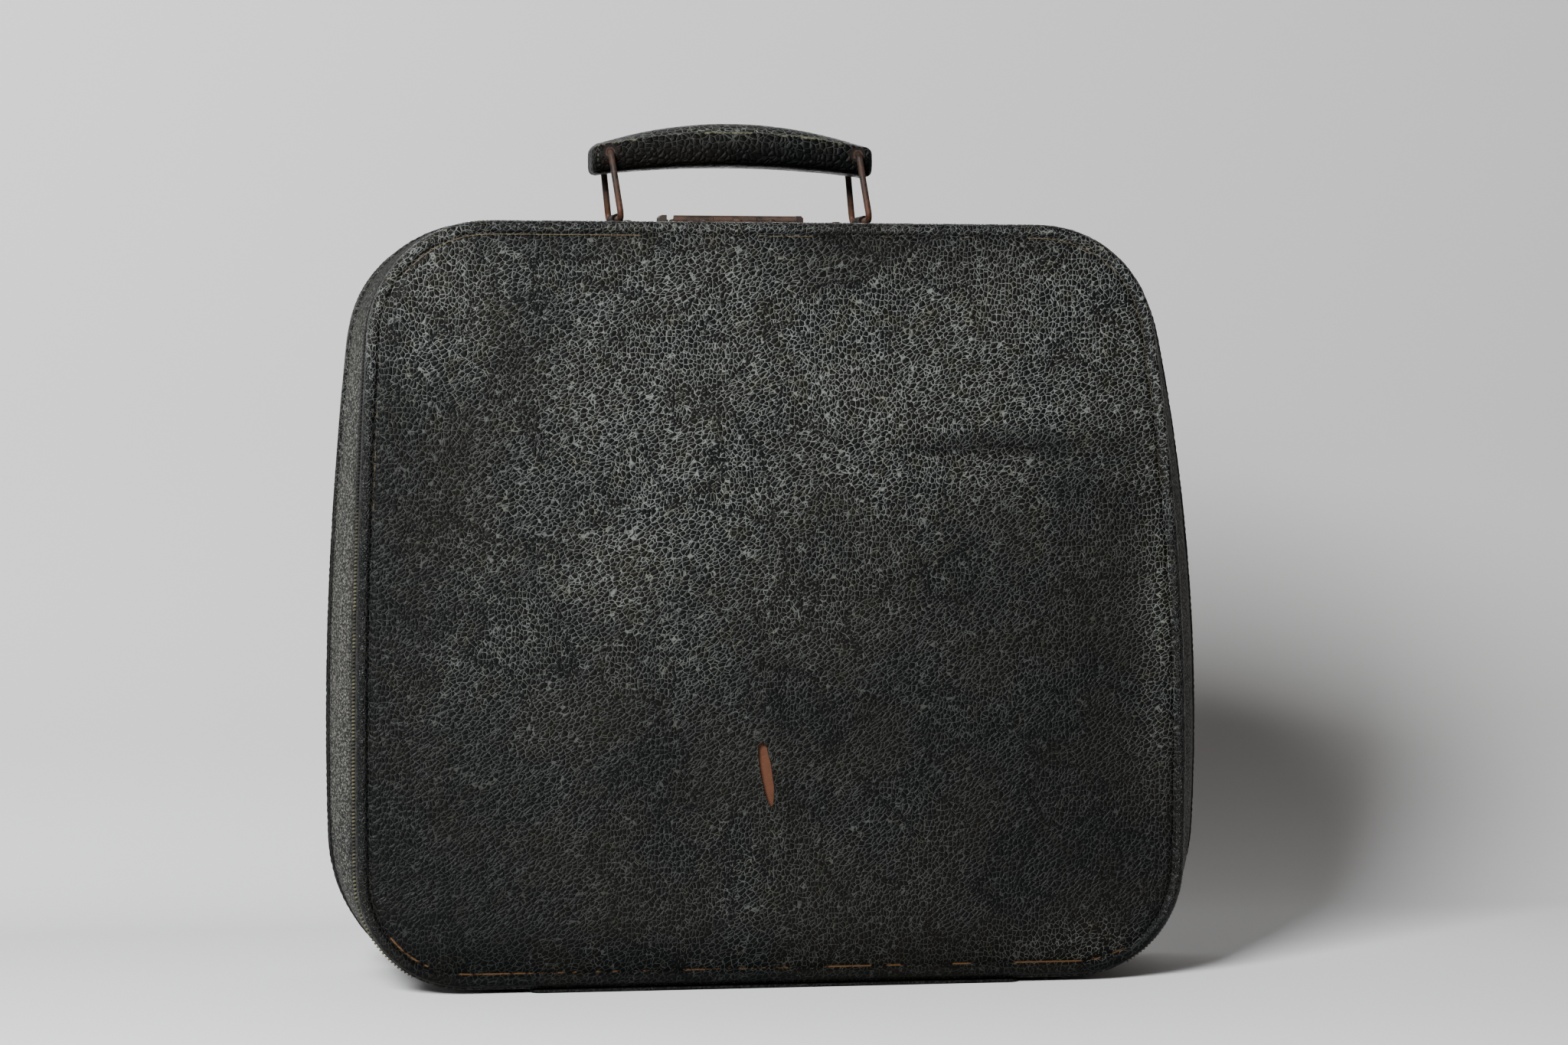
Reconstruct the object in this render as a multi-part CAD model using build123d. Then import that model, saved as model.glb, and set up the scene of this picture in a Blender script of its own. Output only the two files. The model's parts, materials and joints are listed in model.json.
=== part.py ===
from build123d import *
import math
import os

# A leather covered case for a portable typewriter, standing on its hinge side as it is carried.
# Millimetres, +X to the right of the lid, +Y from the lid towards the base, +Z up to the handle.

# Overall form
lid_depth = 23.0
base_depth = 72.0
foot_height = 5.0
front_top = 293.4
front_bottom = 2.6
front_half_width = 161.7
front_widest_height = 85.0
front_left_radius = 3000.0
front_right_radius = 1110.0
front_top_corner = 46.0
front_bottom_corner = 42.0
rim_half_width = 170.6
rim_widest_height = 100.0
rim_left_radius = 1280.0
rim_right_radius = 750.0
rim_top_corner = 50.0
rim_bottom_corner = 60.0
seam_gap = 0.2

# Skins, boards and bands
bead_width = 5.0
bead_depth = 5.0
bead_proud = 0.5
bead_rounding = 2.2
bead_over_cover = 0.8
leather = 1.2
board = 4.0
board_fit = 0.3
lining = 0.6
strip_thickness = 1.3
strip_half_length = 95.2
strip_end_gap = 6.0
strip_front_setback = 2.0
strip_rear_setback = 4.0
tongue_thickness = 2.0
tongue_reach = 7.0
tongue_root = 10.0
tongue_clearance = 0.4

# Share of the flare reached at each station between an edge and the rim
lid_stations = [(0.0, 0.0), (0.5, 0.62), (1.0, 1.0)]
base_stations = [(0.0, 1.0), (0.4, 0.82), (0.75, 0.42), (1.0, 0.0)]

# Hinge under the seam
pin_radius = 0.9
pin_clearance = 0.05
knuckle_radius = 2.2
knuckle_count = 9
knuckle_gap = 0.2
hinge_half_length = 92.0
hinge_height = 2.5
leaf_reach = 13.8
leaf_edge = 2.7
channel_half_width = 3.2
channel_top = 5.2
channel_half_length = 132.0
screw_radius = 1.2
screw_head_radius = 2.2
screw_spacing = 46.0
screw_count = 4
hinge_screw_length = 3.6

# Handle
handle_x = -7.4
loop_spacing = 97.8
loop_height = 26.0
loop_foot_width = 35.0
loop_top_width = 25.0
loop_lean = 7.4
loop_bend = 3.0
wire_radius = 1.25
wire_clearance = 0.08
pivot_height = 3.0
grip_end_reach = 6.8
grip_middle_half_depth = 12.0
grip_end_half_depth = 9.6
grip_bottom_drop = 5.0
grip_top_rise = 12.4
grip_end_height = 11.5
grip_end_drop = 8.6
grip_end_round = 5.2
grip_rounding = 3.0
grip_skin = 2.4
eyelet_wall = 0.7
eyelet_flange = 1.0
eyelet_thickness = 0.5
eyelet_clearance = 0.05
eyelet_tube_gap = 0.4

# Ears that hold the wire loops
ear_width = 14.0
ear_length = 17.0
ear_plate = 1.0
ear_knuckle_wall = 0.9
ear_knuckle_length = 14.0
rivet_radius = 1.1
rivet_head_radius = 1.8
rivet_head_height = 1.0
ear_rivet_x = 4.9
ear_rivet_y = 5.8

# Lock and hasp
lock_x = -13.6
lock_plate_half_length = 43.5
lock_plate_start = 1.0
lock_plate_width = 14.0
lock_plate_thickness = 1.0
lock_case_half_length = 39.5
lock_case_width = 10.0
lock_case_depth = 4.0
lock_case_wall = 0.7
lock_rivet_margin = 0.3
slide_clearance = 0.2
slide_travel = 4.0
slide_block_length = 6.0
tab_inner = 25.4
tab_thickness = 2.8
tab_width = 8.0
tab_height = 4.2
tab_slant = 0.9
neck_width = 3.6
nose_length = 0.8
nose_width = 4.0
spring_strip = 0.35
spring_spread = 6.0
hasp_offset = -0.65
hasp_half_length = 23.6
hasp_reach = 12.0
hasp_thickness = 1.3
hasp_corner = 5.0
hasp_axis_back = 6.0
hasp_axis_height = 1.9
hasp_knuckle_radius = 1.7
hasp_knuckle_length = 15.0
hasp_pin_radius = 0.8
hasp_lift = 0.3
hasp_plate_half_length = 21.0
hasp_plate_front = 17.5
hasp_rivet_x = 13.0
hasp_rivet_back = 13.6

# Feet on the outside of the base and pads within it
foot_radius = 7.5
foot_top_radius = 6.0
foot_rivet_radius = 2.6
foot_rivet_height = 0.8
foot_x = 112.0
foot_low = 52.0
foot_high = 244.0
pad_radius = 11.0
pad_height = 7.0
pad_x = 96.0
pad_low = 60.0
pad_high = 226.0

# Turn catches that hold the machine down
catch_x = 118.0
catch_z = 142.0
catch_post_radius = 5.0
catch_post_height = 16.0
catch_length = 34.0
catch_width = 10.0
catch_thickness = 1.6
catch_bore_clearance = 0.08
catch_screw_radius = 1.8
catch_screw_head_radius = 4.0
catch_screw_head_height = 1.4
catch_gap = 0.1
catch_pad = 2.0

# Places worked out from the driving sizes
whole_depth = lid_depth + base_depth + foot_height
front = -whole_depth / 2
seam = front + lid_depth
back = seam + base_depth
wall_top = front_top - bead_proud
wall_bottom = strip_thickness
lid_wall_start = front + bead_depth
base_wall_end = back - bead_depth
wall_half_width = front_half_width - bead_proud
board_inset = leather + board
lining_inset = board_inset + lining
tongue_inset = lining_inset + tongue_clearance
cover_start = front + bead_over_cover
lid_board_start = cover_start + leather
lid_inner = lid_board_start + board
base_cover_end = back - bead_over_cover
base_board_end = base_cover_end - leather
base_inner = base_board_end - board
leaf_top = wall_bottom + leather
handle_y = seam + (lid_depth + base_depth) / 2 - lid_depth
pivot_z = wall_top + pivot_height
grip_half_length = loop_spacing / 2 + grip_end_reach
lean = math.radians(loop_lean)
grip_x = handle_x - loop_height * math.sin(lean)
grip_z = pivot_z + loop_height * math.cos(lean)
lock_y = seam + lock_plate_start + lock_plate_width / 2
hasp_x = lock_x + hasp_offset
hasp_axis_y = seam - hasp_axis_back
hasp_axis_z = wall_top + hasp_axis_height


def blend(a, b, t):
    return a + (b - a) * t


def outline(y, flare, inset, half_width, top, bottom):
    """Closed outline of the case at depth y, drawn in by inset; flare is 0 at a panel and 1 at the rim."""
    half = blend(half_width, rim_half_width, flare) - inset
    widest = blend(front_widest_height, rim_widest_height, flare)
    low_corner = blend(front_bottom_corner, rim_bottom_corner, flare)
    high_corner = blend(front_top_corner, rim_top_corner, flare)
    bends = {
        1: 1 / blend(1 / front_right_radius, 1 / rim_right_radius, flare),
        -1: 1 / blend(1 / front_left_radius, 1 / rim_left_radius, flare),
    }
    edges = {}
    for side, bend in bends.items():
        hub = half + inset - bend
        low_rise = bottom + low_corner - widest
        low_run = math.sqrt((bend - low_corner) ** 2 - low_rise**2)
        high_rise = top - high_corner - widest
        high_run = math.sqrt((bend - high_corner) ** 2 - high_rise**2)
        low_angle = math.atan2(low_rise, low_run)
        high_angle = math.atan2(high_rise, high_run)

        def spot(cx, cz, radius, angle, side=side):
            return Vector(side * (cx + radius * math.cos(angle)), y, cz + radius * math.sin(angle))

        quarter = math.pi / 2
        low = (hub + low_run, bottom + low_corner, low_corner - inset)
        high = (hub + high_run, top - high_corner, high_corner - inset)
        flank = (hub, widest, bend - inset)
        a = spot(*low, -quarter)
        b = spot(*low, low_angle)
        c = spot(*high, high_angle)
        d = spot(*high, quarter)
        edges[side] = [
            (a, spot(*low, (low_angle - quarter) / 2), b),
            (b, spot(*flank, (low_angle + high_angle) / 2), c),
            (c, spot(*high, (high_angle + quarter) / 2), d),
        ]
    right = [Edge.make_three_point_arc(*points) for points in edges[1]]
    left = [Edge.make_three_point_arc(p[2], p[1], p[0]) for p in reversed(edges[-1])]
    sill = Edge.make_line(edges[-1][0][0], edges[1][0][0])
    crown = Edge.make_line(edges[1][2][2], edges[-1][2][2])
    return Wire([sill] + right + [crown] + left)


def flare_at(y):
    """Share of the flare at depth y of the wall."""
    if y <= seam:
        share = (y - lid_wall_start) / (seam - lid_wall_start)
        stations = lid_stations
    else:
        share = (y - seam) / (base_wall_end - seam)
        stations = base_stations
    share = min(max(share, 0.0), 1.0)
    for (s0, f0), (s1, f1) in zip(stations, stations[1:]):
        if share <= s1:
            return blend(f0, f1, (share - s0) / (s1 - s0))
    return stations[-1][1]


def wall_outline(y, inset):
    return outline(y, flare_at(y), inset, wall_half_width, wall_top, wall_bottom)


def panel_outline(y, inset):
    return outline(y, 0.0, inset, front_half_width, front_top, front_bottom)


def depths(start, end):
    """Depths where a wall between start and end changes its flare."""
    marks = [lid_wall_start + s * (seam - lid_wall_start) for s, _ in lid_stations]
    marks += [seam + s * (base_wall_end - seam) for s, _ in base_stations]
    inner = [m for m in marks if start + 0.05 < m < end - 0.05]
    return [start] + sorted(set(inner)) + [end]


def wall_solid(start, end, inset):
    return Solid.make_loft([wall_outline(y, inset) for y in depths(start, end)], ruled=True)


def band(start, end, outer_inset, inner_inset):
    """One layer of the wall, between two insets."""
    return wall_solid(start, end, outer_inset) - wall_solid(start, end, inner_inset)


def slab(start, end, inset):
    """Flat layer of a panel."""
    return extrude(Face(panel_outline(start, inset)), amount=end - start, dir=(0, 1, 0))


def block(x0, x1, y0, y1, z0, z1):
    size = (x1 - x0, y1 - y0, z1 - z0)
    middle = ((x0 + x1) / 2, (y0 + y1) / 2, (z0 + z1) / 2)
    return Pos(*middle) * Box(*size)


def rod_x(x0, x1, y, z, radius):
    return Pos((x0 + x1) / 2, y, z) * Rot(0, 90, 0) * Cylinder(radius, x1 - x0)


def rod_y(x, y0, y1, z, radius):
    return Pos(x, (y0 + y1) / 2, z) * Rot(90, 0, 0) * Cylinder(radius, y1 - y0)


def rod_z(x, y, z0, z1, radius):
    return Pos(x, y, (z0 + z1) / 2) * Cylinder(radius, z1 - z0)


def rivet(x, y, z, length):
    """Round headed rivet seated on a plate whose top is at z, with its shank going down."""
    head = Pos(x, y, z) * extrude(Circle(rivet_head_radius), amount=rivet_head_height)
    head = fillet(head.edges().sort_by(Axis.Z)[-1], rivet_head_height * 0.8)
    return head + rod_z(x, y, z - length, z, rivet_radius)


def joined(pieces):
    """Several pieces as one shape."""
    whole = pieces[0]
    for piece in pieces[1:]:
        whole = whole + piece
    return whole


def apart(pieces):
    """Separate solids kept in one group."""
    return Compound(children=[Part(children=[]) + piece for piece in pieces])


def save(name, shape):
    export_step(shape, "parts/" + name + ".step")


# Places of the fasteners, shared by the plates and the walls that they go through
def ear_x(side):
    return handle_x + side * loop_spacing / 2


def ear_rivet_places():
    places = []
    for side in (-1, 1):
        for dx in (-ear_rivet_x, ear_rivet_x):
            for dy in (-ear_rivet_y, ear_rivet_y):
                places.append((ear_x(side) + dx, handle_y + dy))
    return places


def lock_rivet_places():
    reach = lock_case_half_length + rivet_radius + lock_rivet_margin
    near = lock_y - lock_plate_width / 2 + rivet_head_radius + lock_rivet_margin
    return [(lock_x - reach, near), (lock_x + reach, near)]


def hasp_rivet_places():
    return [(hasp_x + dx, seam - hasp_rivet_back) for dx in (-hasp_rivet_x, 0, hasp_rivet_x)]


def hinge_screw_xs():
    first = -screw_spacing * (screw_count - 1) / 2
    return [first + i * screw_spacing for i in range(screw_count)]


def screw_y(side):
    return seam + side * (strip_end_gap + leaf_reach) / 2


def corner_places(x, low, high):
    return [(side * x, z) for side in (-1, 1) for z in (low, high)]


def holes(places, radius):
    return joined([rod_z(x, y, wall_top - board_inset, wall_top + 5, radius) for x, y in places])


def base_top_holes(radius):
    return holes(ear_rivet_places() + lock_rivet_places(), radius)


def lock_mortise():
    half = lock_case_half_length
    return block(lock_x - half, lock_x + half, lock_y - lock_case_width / 2, lock_y + lock_case_width / 2,
                 wall_top - lock_case_depth, wall_top + 1)


def hinge_channel():
    return block(-channel_half_length, channel_half_length, seam - channel_half_width,
                 seam + channel_half_width, wall_bottom - 1, channel_top)


def leaf_pocket(side):
    near = seam + side * channel_half_width
    far = seam + side * leaf_reach
    return block(-hinge_half_length, hinge_half_length, min(near, far), max(near, far),
                 wall_bottom - 1, leaf_top)


def screw_shanks(side):
    top = leaf_top + hinge_screw_length
    return joined([rod_z(x, screw_y(side), wall_bottom, top, screw_radius) for x in hinge_screw_xs()])


# Lid
lid_edge = seam - seam_gap / 2
base_edge = seam + seam_gap / 2


def bead(start, end, rounded):
    """Rolled leather edge round a panel; rounded is the depth of its rounded face."""
    ring = slab(start, end, 0) - slab(start, end, bead_width)
    rims = ring.edges().filter_by(lambda e: abs(e.center().Y - rounded) < 0.01)
    return fillet(rims, bead_rounding)


def make_lid():
    wall = band(lid_wall_start, lid_edge, leather, board_inset)
    save("lid_wall", wall - hinge_channel() - holes(hasp_rivet_places(), rivet_radius) - screw_shanks(-1))
    cover = band(lid_wall_start, lid_edge, 0, leather)
    cover = cover - hinge_channel() - leaf_pocket(-1) - holes(hasp_rivet_places(), rivet_radius)
    save("lid_wall_cover", cover)
    save("lid_wall_lining", band(lid_inner + lining, lid_edge, board_inset, lining_inset))
    save("lid_panel", slab(lid_board_start, lid_inner, board_inset + bead_proud + board_fit))
    save("lid_panel_cover", slab(cover_start, lid_board_start, bead_width))
    save("lid_panel_lining", slab(lid_inner, lid_inner + lining, board_inset + bead_proud + board_fit))
    save("lid_bead", bead(front, lid_wall_start, front))


def make_base():
    cuts = hinge_channel() + lock_mortise() + base_top_holes(rivet_radius)
    wall = band(base_edge, base_wall_end, leather, board_inset)
    save("base_wall", wall - cuts - screw_shanks(1))
    cover = band(base_edge, base_wall_end, 0, leather)
    save("base_wall_cover", cover - cuts - leaf_pocket(1))
    save("base_wall_lining", band(base_edge, base_inner - lining, board_inset, lining_inset))
    panel = slab(base_inner, base_board_end, board_inset + bead_proud + board_fit)
    save("base_panel", panel - foot_shanks() - catch_shanks())
    save("base_panel_cover", slab(base_board_end, base_cover_end, bead_width) - foot_shanks())
    lining_slab = slab(base_inner - lining, base_inner, board_inset + bead_proud + board_fit)
    save("base_panel_lining", lining_slab - catch_shanks() - foot_shanks())
    save("base_bead", bead(base_wall_end, back, back))
    root = band(seam, seam + tongue_root, lining_inset, tongue_inset + tongue_thickness)
    tip = band(seam - tongue_reach, seam, tongue_inset, tongue_inset + tongue_thickness)
    save("base_tongue", root + tip)


def strip(y0, y1):
    plate = block(-strip_half_length, strip_half_length, y0, y1, 0, strip_thickness)
    return fillet(plate.edges().filter_by(Axis.Z), 2.0)


def make_strips():
    save("strip_lid", strip(front + strip_front_setback, seam - strip_end_gap))
    save("strip_base", strip(seam + strip_end_gap, back - strip_rear_setback))


# Hinge
def knuckle_spans():
    pitch = 2 * hinge_half_length / knuckle_count
    spans = []
    for i in range(knuckle_count):
        start = -hinge_half_length + i * pitch
        spans.append((start + knuckle_gap / 2, start + pitch - knuckle_gap / 2))
    return spans


def leaf(side, spans):
    near = seam + side * leaf_edge
    far = seam + side * leaf_reach
    plate = block(-hinge_half_length, hinge_half_length, min(near, far), max(near, far), wall_bottom, leaf_top)
    for x0, x1 in spans:
        finger = block(x0, x1, min(seam, near), max(seam, near), wall_bottom, leaf_top)
        plate = plate + finger + rod_x(x0, x1, seam, hinge_height, knuckle_radius)
    bore = rod_x(-hinge_half_length - 1, hinge_half_length + 1, seam, hinge_height, pin_radius + pin_clearance)
    return plate - bore


def hinge_screw(x, side):
    y = screw_y(side)
    head = Pos(x, y, leaf_top - leather / 2) * Cone(screw_head_radius, screw_radius, leather)
    return head + rod_z(x, y, leaf_top, leaf_top + hinge_screw_length, screw_radius)


def make_hinge():
    spans = knuckle_spans()
    for side, name, own in ((-1, "lid", spans[0::2]), (1, "base", spans[1::2])):
        screws = [hinge_screw(x, side) for x in hinge_screw_xs()]
        save("hinge_" + name + "_leaf", leaf(side, own) - joined(screws))
        save("hinge_" + name + "_screws", apart(screws))
    save("hinge_pin", rod_x(-hinge_half_length, hinge_half_length, seam, hinge_height, pin_radius))


# Handle
def loop_wire():
    """Bent steel wire loop, upright, with the middle of its lower bar at the origin."""
    foot = loop_foot_width / 2
    head = loop_top_width / 2
    corners = [(0, -foot, 0), (0, -head, loop_height), (0, head, loop_height), (0, foot, 0)]
    path = FilletPolyline(*corners, radius=loop_bend, close=True)
    start = path @ 0
    section = Plane(origin=start, z_dir=path % 0) * Circle(wire_radius)
    return sweep(section, path=path)


def grip_profile(inset):
    """Side view of the grip round its own centre: arched top, slightly hollow bottom, round ends."""
    half = grip_half_length - inset
    top = grip_top_rise - inset
    bottom = -grip_bottom_drop + inset
    shoulder = half - grip_end_round + inset / 2
    low = -grip_end_drop + inset
    high = low + grip_end_height - 2 * inset
    middle = (low + high) / 2
    crown = Edge.make_three_point_arc((shoulder, 0, high), (0, 0, top), (-shoulder, 0, high))
    left = Edge.make_three_point_arc((-shoulder, 0, high), (-half, 0, middle), (-shoulder, 0, low))
    sole = Edge.make_three_point_arc((-shoulder, 0, low), (0, 0, bottom), (shoulder, 0, low))
    right = Edge.make_three_point_arc((shoulder, 0, low), (half, 0, middle), (shoulder, 0, high))
    return Face(Wire([crown, left, sole, right]))


def grip_plan(inset):
    """Top view of the grip: a little deeper in the middle than at its ends."""
    half = grip_half_length + 1
    end = grip_end_half_depth - inset
    deep = grip_middle_half_depth - inset
    near = Edge.make_three_point_arc((-half, -end, 0), (0, -deep, 0), (half, -end, 0))
    far = Edge.make_three_point_arc((half, end, 0), (0, deep, 0), (-half, end, 0))
    right = Edge.make_line((half, -end, 0), (half, end, 0))
    left = Edge.make_line((-half, end, 0), (-half, -end, 0))
    return Face(Wire([near, right, far, left]))


def grip_form(inset):
    depth = grip_middle_half_depth + 1
    side = Pos(0, -depth, 0) * extrude(grip_profile(inset), amount=2 * depth, dir=(0, 1, 0))
    plan = Pos(0, 0, -20) * extrude(grip_plan(inset), amount=40, dir=(0, 0, 1))
    return side & plan


def grip_bores(radius):
    reach = grip_middle_half_depth + 2
    return joined([rod_y(side * loop_spacing / 2, -reach, reach, 0, radius) for side in (-1, 1)])


def eyelet(x, side):
    """Steel eyelet in one face of the grip, round the wire."""
    face = side * grip_depth_at(x)
    inner = wire_radius + wire_clearance
    tube_end = face - side * (grip_skin - eyelet_tube_gap)
    y0, y1 = sorted((face, tube_end))
    tube = rod_y(x, y0, y1, 0, inner + eyelet_wall)
    f0, f1 = sorted((face, face + side * eyelet_thickness))
    flange = rod_y(x, f0, f1, 0, inner + eyelet_wall + eyelet_flange)
    return tube + flange - rod_y(x, -20, 20, 0, inner)


def eyelet_seats():
    """Flat seats in the skin for the flanges of the eyelets."""
    radius = wire_radius + wire_clearance + eyelet_wall + eyelet_flange + eyelet_clearance
    reach = grip_middle_half_depth + eyelet_thickness
    seats = []
    for x in (-loop_spacing / 2, loop_spacing / 2):
        face = grip_depth_at(x)
        seats += [rod_y(x, face, reach, 0, radius), rod_y(x, -reach, -face, 0, radius)]
    return joined(seats)


def grip_depth_at(x):
    """Half depth of the grip's face at x."""
    half = grip_half_length + 1
    sag = grip_middle_half_depth - grip_end_half_depth
    bend = (half**2 + sag**2) / (2 * sag)
    return grip_middle_half_depth - bend + math.sqrt(bend**2 - x**2)


def make_handle():
    loop = Rot(0, -loop_lean, 0) * loop_wire()
    for side, name in ((-1, "left"), (1, "right")):
        save("loop_" + name, Pos(ear_x(side), handle_y, pivot_z) * loop)
    place = Pos(grip_x, handle_y, grip_z)
    core = grip_form(grip_skin) - grip_bores(wire_radius + wire_clearance)
    skin = grip_form(0)
    skin = fillet(skin.edges().filter_by(lambda e: e.length > grip_half_length), grip_rounding)
    eyelets = [eyelet(x * loop_spacing / 2, side) for x in (-1, 1) for side in (-1, 1)]
    skin = skin - grip_form(grip_skin) - grip_bores(wire_radius + wire_clearance + eyelet_wall)
    skin = skin - eyelet_seats()
    save("grip_leather", place * skin)
    save("grip_core", place * core)
    save("grip_eyelets", place * apart(eyelets))


def ear(side):
    x = ear_x(side)
    half = ear_length / 2
    plate = block(x - ear_width / 2, x + ear_width / 2, handle_y - half, handle_y + half,
                  wall_top, wall_top + ear_plate)
    plate = fillet(plate.edges().filter_by(Axis.Z), 2.5)
    bore = wire_radius + wire_clearance
    outer = bore + ear_knuckle_wall
    reach = ear_knuckle_length / 2
    saddle = block(x - outer, x + outer, handle_y - reach, handle_y + reach, wall_top, pivot_z)
    knuckle = rod_y(x, handle_y - reach, handle_y + reach, pivot_z, outer)
    return plate + saddle + knuckle - rod_y(x, handle_y - half, handle_y + half, pivot_z, bore)


def make_ears():
    top = wall_top + ear_plate
    for side, name in ((-1, "left"), (1, "right")):
        own = [p for p in ear_rivet_places() if abs(p[0] - ear_x(side)) < ear_width]
        save("ear_" + name, ear(side) - holes(own, rivet_radius))
    rivets = [rivet(x, y, top, ear_plate + board_inset) for x, y in ear_rivet_places()]
    save("ear_rivets", apart(rivets))


# Lock
def lock_plate():
    half = lock_plate_half_length
    y0 = lock_y - lock_plate_width / 2
    y1 = lock_y + lock_plate_width / 2
    plate = block(lock_x - half, lock_x + half, y0, y1, wall_top, wall_top + lock_plate_thickness)
    plate = fillet(plate.edges().filter_by(Axis.Z), 2.5)
    for side in (-1, 1):
        a = lock_x + side * (tab_inner - slide_clearance)
        b = lock_x + side * (tab_inner + tab_thickness + slide_travel + slide_clearance)
        reach = neck_width / 2 + slide_clearance
        plate = plate - block(min(a, b), max(a, b), lock_y - reach, lock_y + reach, wall_top - 1, wall_top + 3)
    return plate - holes(lock_rivet_places(), rivet_radius)


def lock_case():
    half = lock_case_half_length
    deep = lock_case_width / 2
    wall = lock_case_wall
    low = wall_top - lock_case_depth
    box = block(lock_x - half, lock_x + half, lock_y - deep, lock_y + deep, low, wall_top)
    inside = block(lock_x - half + wall, lock_x + half - wall, lock_y - deep + wall, lock_y + deep - wall,
                   low + wall, wall_top)
    stop = block(lock_x - tab_inner + 3, lock_x + tab_inner - 3, lock_y - deep + wall, lock_y + deep - wall,
                 low + wall, wall_top)
    return box - inside + stop


def slide(side):
    """Sliding catch with its finger tab; side is -1 on the left and 1 on the right."""
    gap = slide_clearance
    wall = lock_case_wall

    def across(x0, x1, half_width, z0, z1):
        a = lock_x + side * x0
        b = lock_x + side * x1
        return block(min(a, b), max(a, b), lock_y - half_width, lock_y + half_width, wall_top + z0, wall_top + z1)

    start = tab_inner - 1
    body = across(start, start + slide_block_length, lock_case_width / 2 - wall - gap,
                  -lock_case_depth + wall + gap, -gap)
    low = lock_plate_thickness + gap
    neck = across(tab_inner, tab_inner + tab_thickness, neck_width / 2, -gap, low)
    tab = across(tab_inner, tab_inner + tab_thickness, tab_width / 2, low, tab_height)
    crest = tab.edges().filter_by(Axis.Y).group_by(Axis.Z)[-1]
    outer = crest.sort_by(Axis.X)[-1 if side > 0 else 0]
    tab = chamfer(outer, tab_slant)
    nose = across(tab_inner - nose_length, tab_inner, nose_width / 2, low, low + hasp_thickness)
    return body + neck + tab + nose


def lock_spring(side):
    """Bent leaf spring that pushes a slide back towards the hasp."""
    wall_x = lock_case_half_length - lock_case_wall - spring_strip
    nose_x = tab_inner - 1 + slide_block_length + spring_strip
    spread = spring_spread / 2
    points = [(wall_x, -spread), (nose_x, 0), (wall_x, spread)]
    bent = FilletPolyline(*points, radius=0.8)
    start = bent @ 0
    section = Plane(origin=start, z_dir=bent % 0) * Rectangle(spring_strip, 2.2)
    strip_solid = sweep(section, path=bent)
    if side < 0:
        strip_solid = Rot(0, 0, 180) * strip_solid
    height = wall_top - lock_case_depth / 2 + lock_case_wall / 2
    return Pos(lock_x, lock_y, height) * strip_solid


def make_lock():
    save("lock_plate", lock_plate())
    save("lock_case", lock_case())
    for side, name in ((-1, "left"), (1, "right")):
        save("slide_" + name, slide(side))
        save("spring_" + name, lock_spring(side))
    top = wall_top + lock_plate_thickness
    rivets = [rivet(x, y, top, lock_plate_thickness + board_inset) for x, y in lock_rivet_places()]
    save("lock_rivets", apart(rivets))


# Hasp on the lid
def hasp_bore():
    """Bore for the pin, through every knuckle."""
    reach = hasp_half_length + hasp_knuckle_radius
    return rod_x(hasp_x - reach, hasp_x + reach, hasp_axis_y, hasp_axis_z, hasp_pin_radius + pin_clearance)


def hasp():
    low = hasp_axis_z - hasp_axis_height + lock_plate_thickness + hasp_lift
    flap = block(hasp_x - hasp_half_length, hasp_x + hasp_half_length, hasp_axis_y, seam + hasp_reach,
                 low, low + hasp_thickness)
    free = flap.edges().filter_by(Axis.Z).group_by(Axis.Y)[-1]
    flap = fillet(free, hasp_corner)
    rim = flap.edges().group_by(Axis.Z)[-1].filter_by(lambda e: e.center().Y > hasp_axis_y + 0.1)
    flap = fillet(rim, hasp_thickness * 0.6)
    gap = block(hasp_x - hasp_half_length + hasp_knuckle_length, hasp_x + hasp_half_length - hasp_knuckle_length,
                hasp_axis_y - 5, hasp_axis_y + hasp_knuckle_radius + 0.3, low - 5, low + 5)
    flap = flap - gap
    for side in (-1, 1):
        a = hasp_x + side * hasp_half_length
        b = hasp_x + side * (hasp_half_length - hasp_knuckle_length)
        flap = flap + rod_x(min(a, b), max(a, b), hasp_axis_y, hasp_axis_z, hasp_knuckle_radius)
    return flap - hasp_bore()


def hasp_plate():
    y0 = seam - hasp_plate_front
    y1 = hasp_axis_y - hasp_knuckle_radius - 0.3
    plate = block(hasp_x - hasp_plate_half_length, hasp_x + hasp_plate_half_length, y0, y1,
                  wall_top, wall_top + lock_plate_thickness)
    front_corners = plate.edges().filter_by(Axis.Z).group_by(Axis.Y)[0]
    plate = fillet(front_corners, 3.0)
    reach = hasp_half_length - hasp_knuckle_length - 0.2
    arm = block(hasp_x - reach, hasp_x + reach, y1 - 0.5, hasp_axis_y, wall_top, wall_top + lock_plate_thickness)
    knuckle = rod_x(hasp_x - reach, hasp_x + reach, hasp_axis_y, hasp_axis_z, hasp_knuckle_radius)
    return plate + arm + knuckle - hasp_bore() - holes(hasp_rivet_places(), rivet_radius)


def make_hasp():
    save("hasp", hasp())
    save("hasp_plate", hasp_plate())
    save("hasp_pin", rod_x(hasp_x - hasp_half_length, hasp_x + hasp_half_length, hasp_axis_y, hasp_axis_z,
                           hasp_pin_radius))
    top = wall_top + lock_plate_thickness
    rivets = [rivet(x, y, top, lock_plate_thickness + board_inset) for x, y in hasp_rivet_places()]
    save("hasp_rivets", apart(rivets))


# Feet, pads and catches
def foot_shanks():
    places = corner_places(foot_x, foot_low, foot_high)
    return joined([rod_y(x, base_inner - lining, back, z, rivet_radius) for x, z in places])


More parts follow.
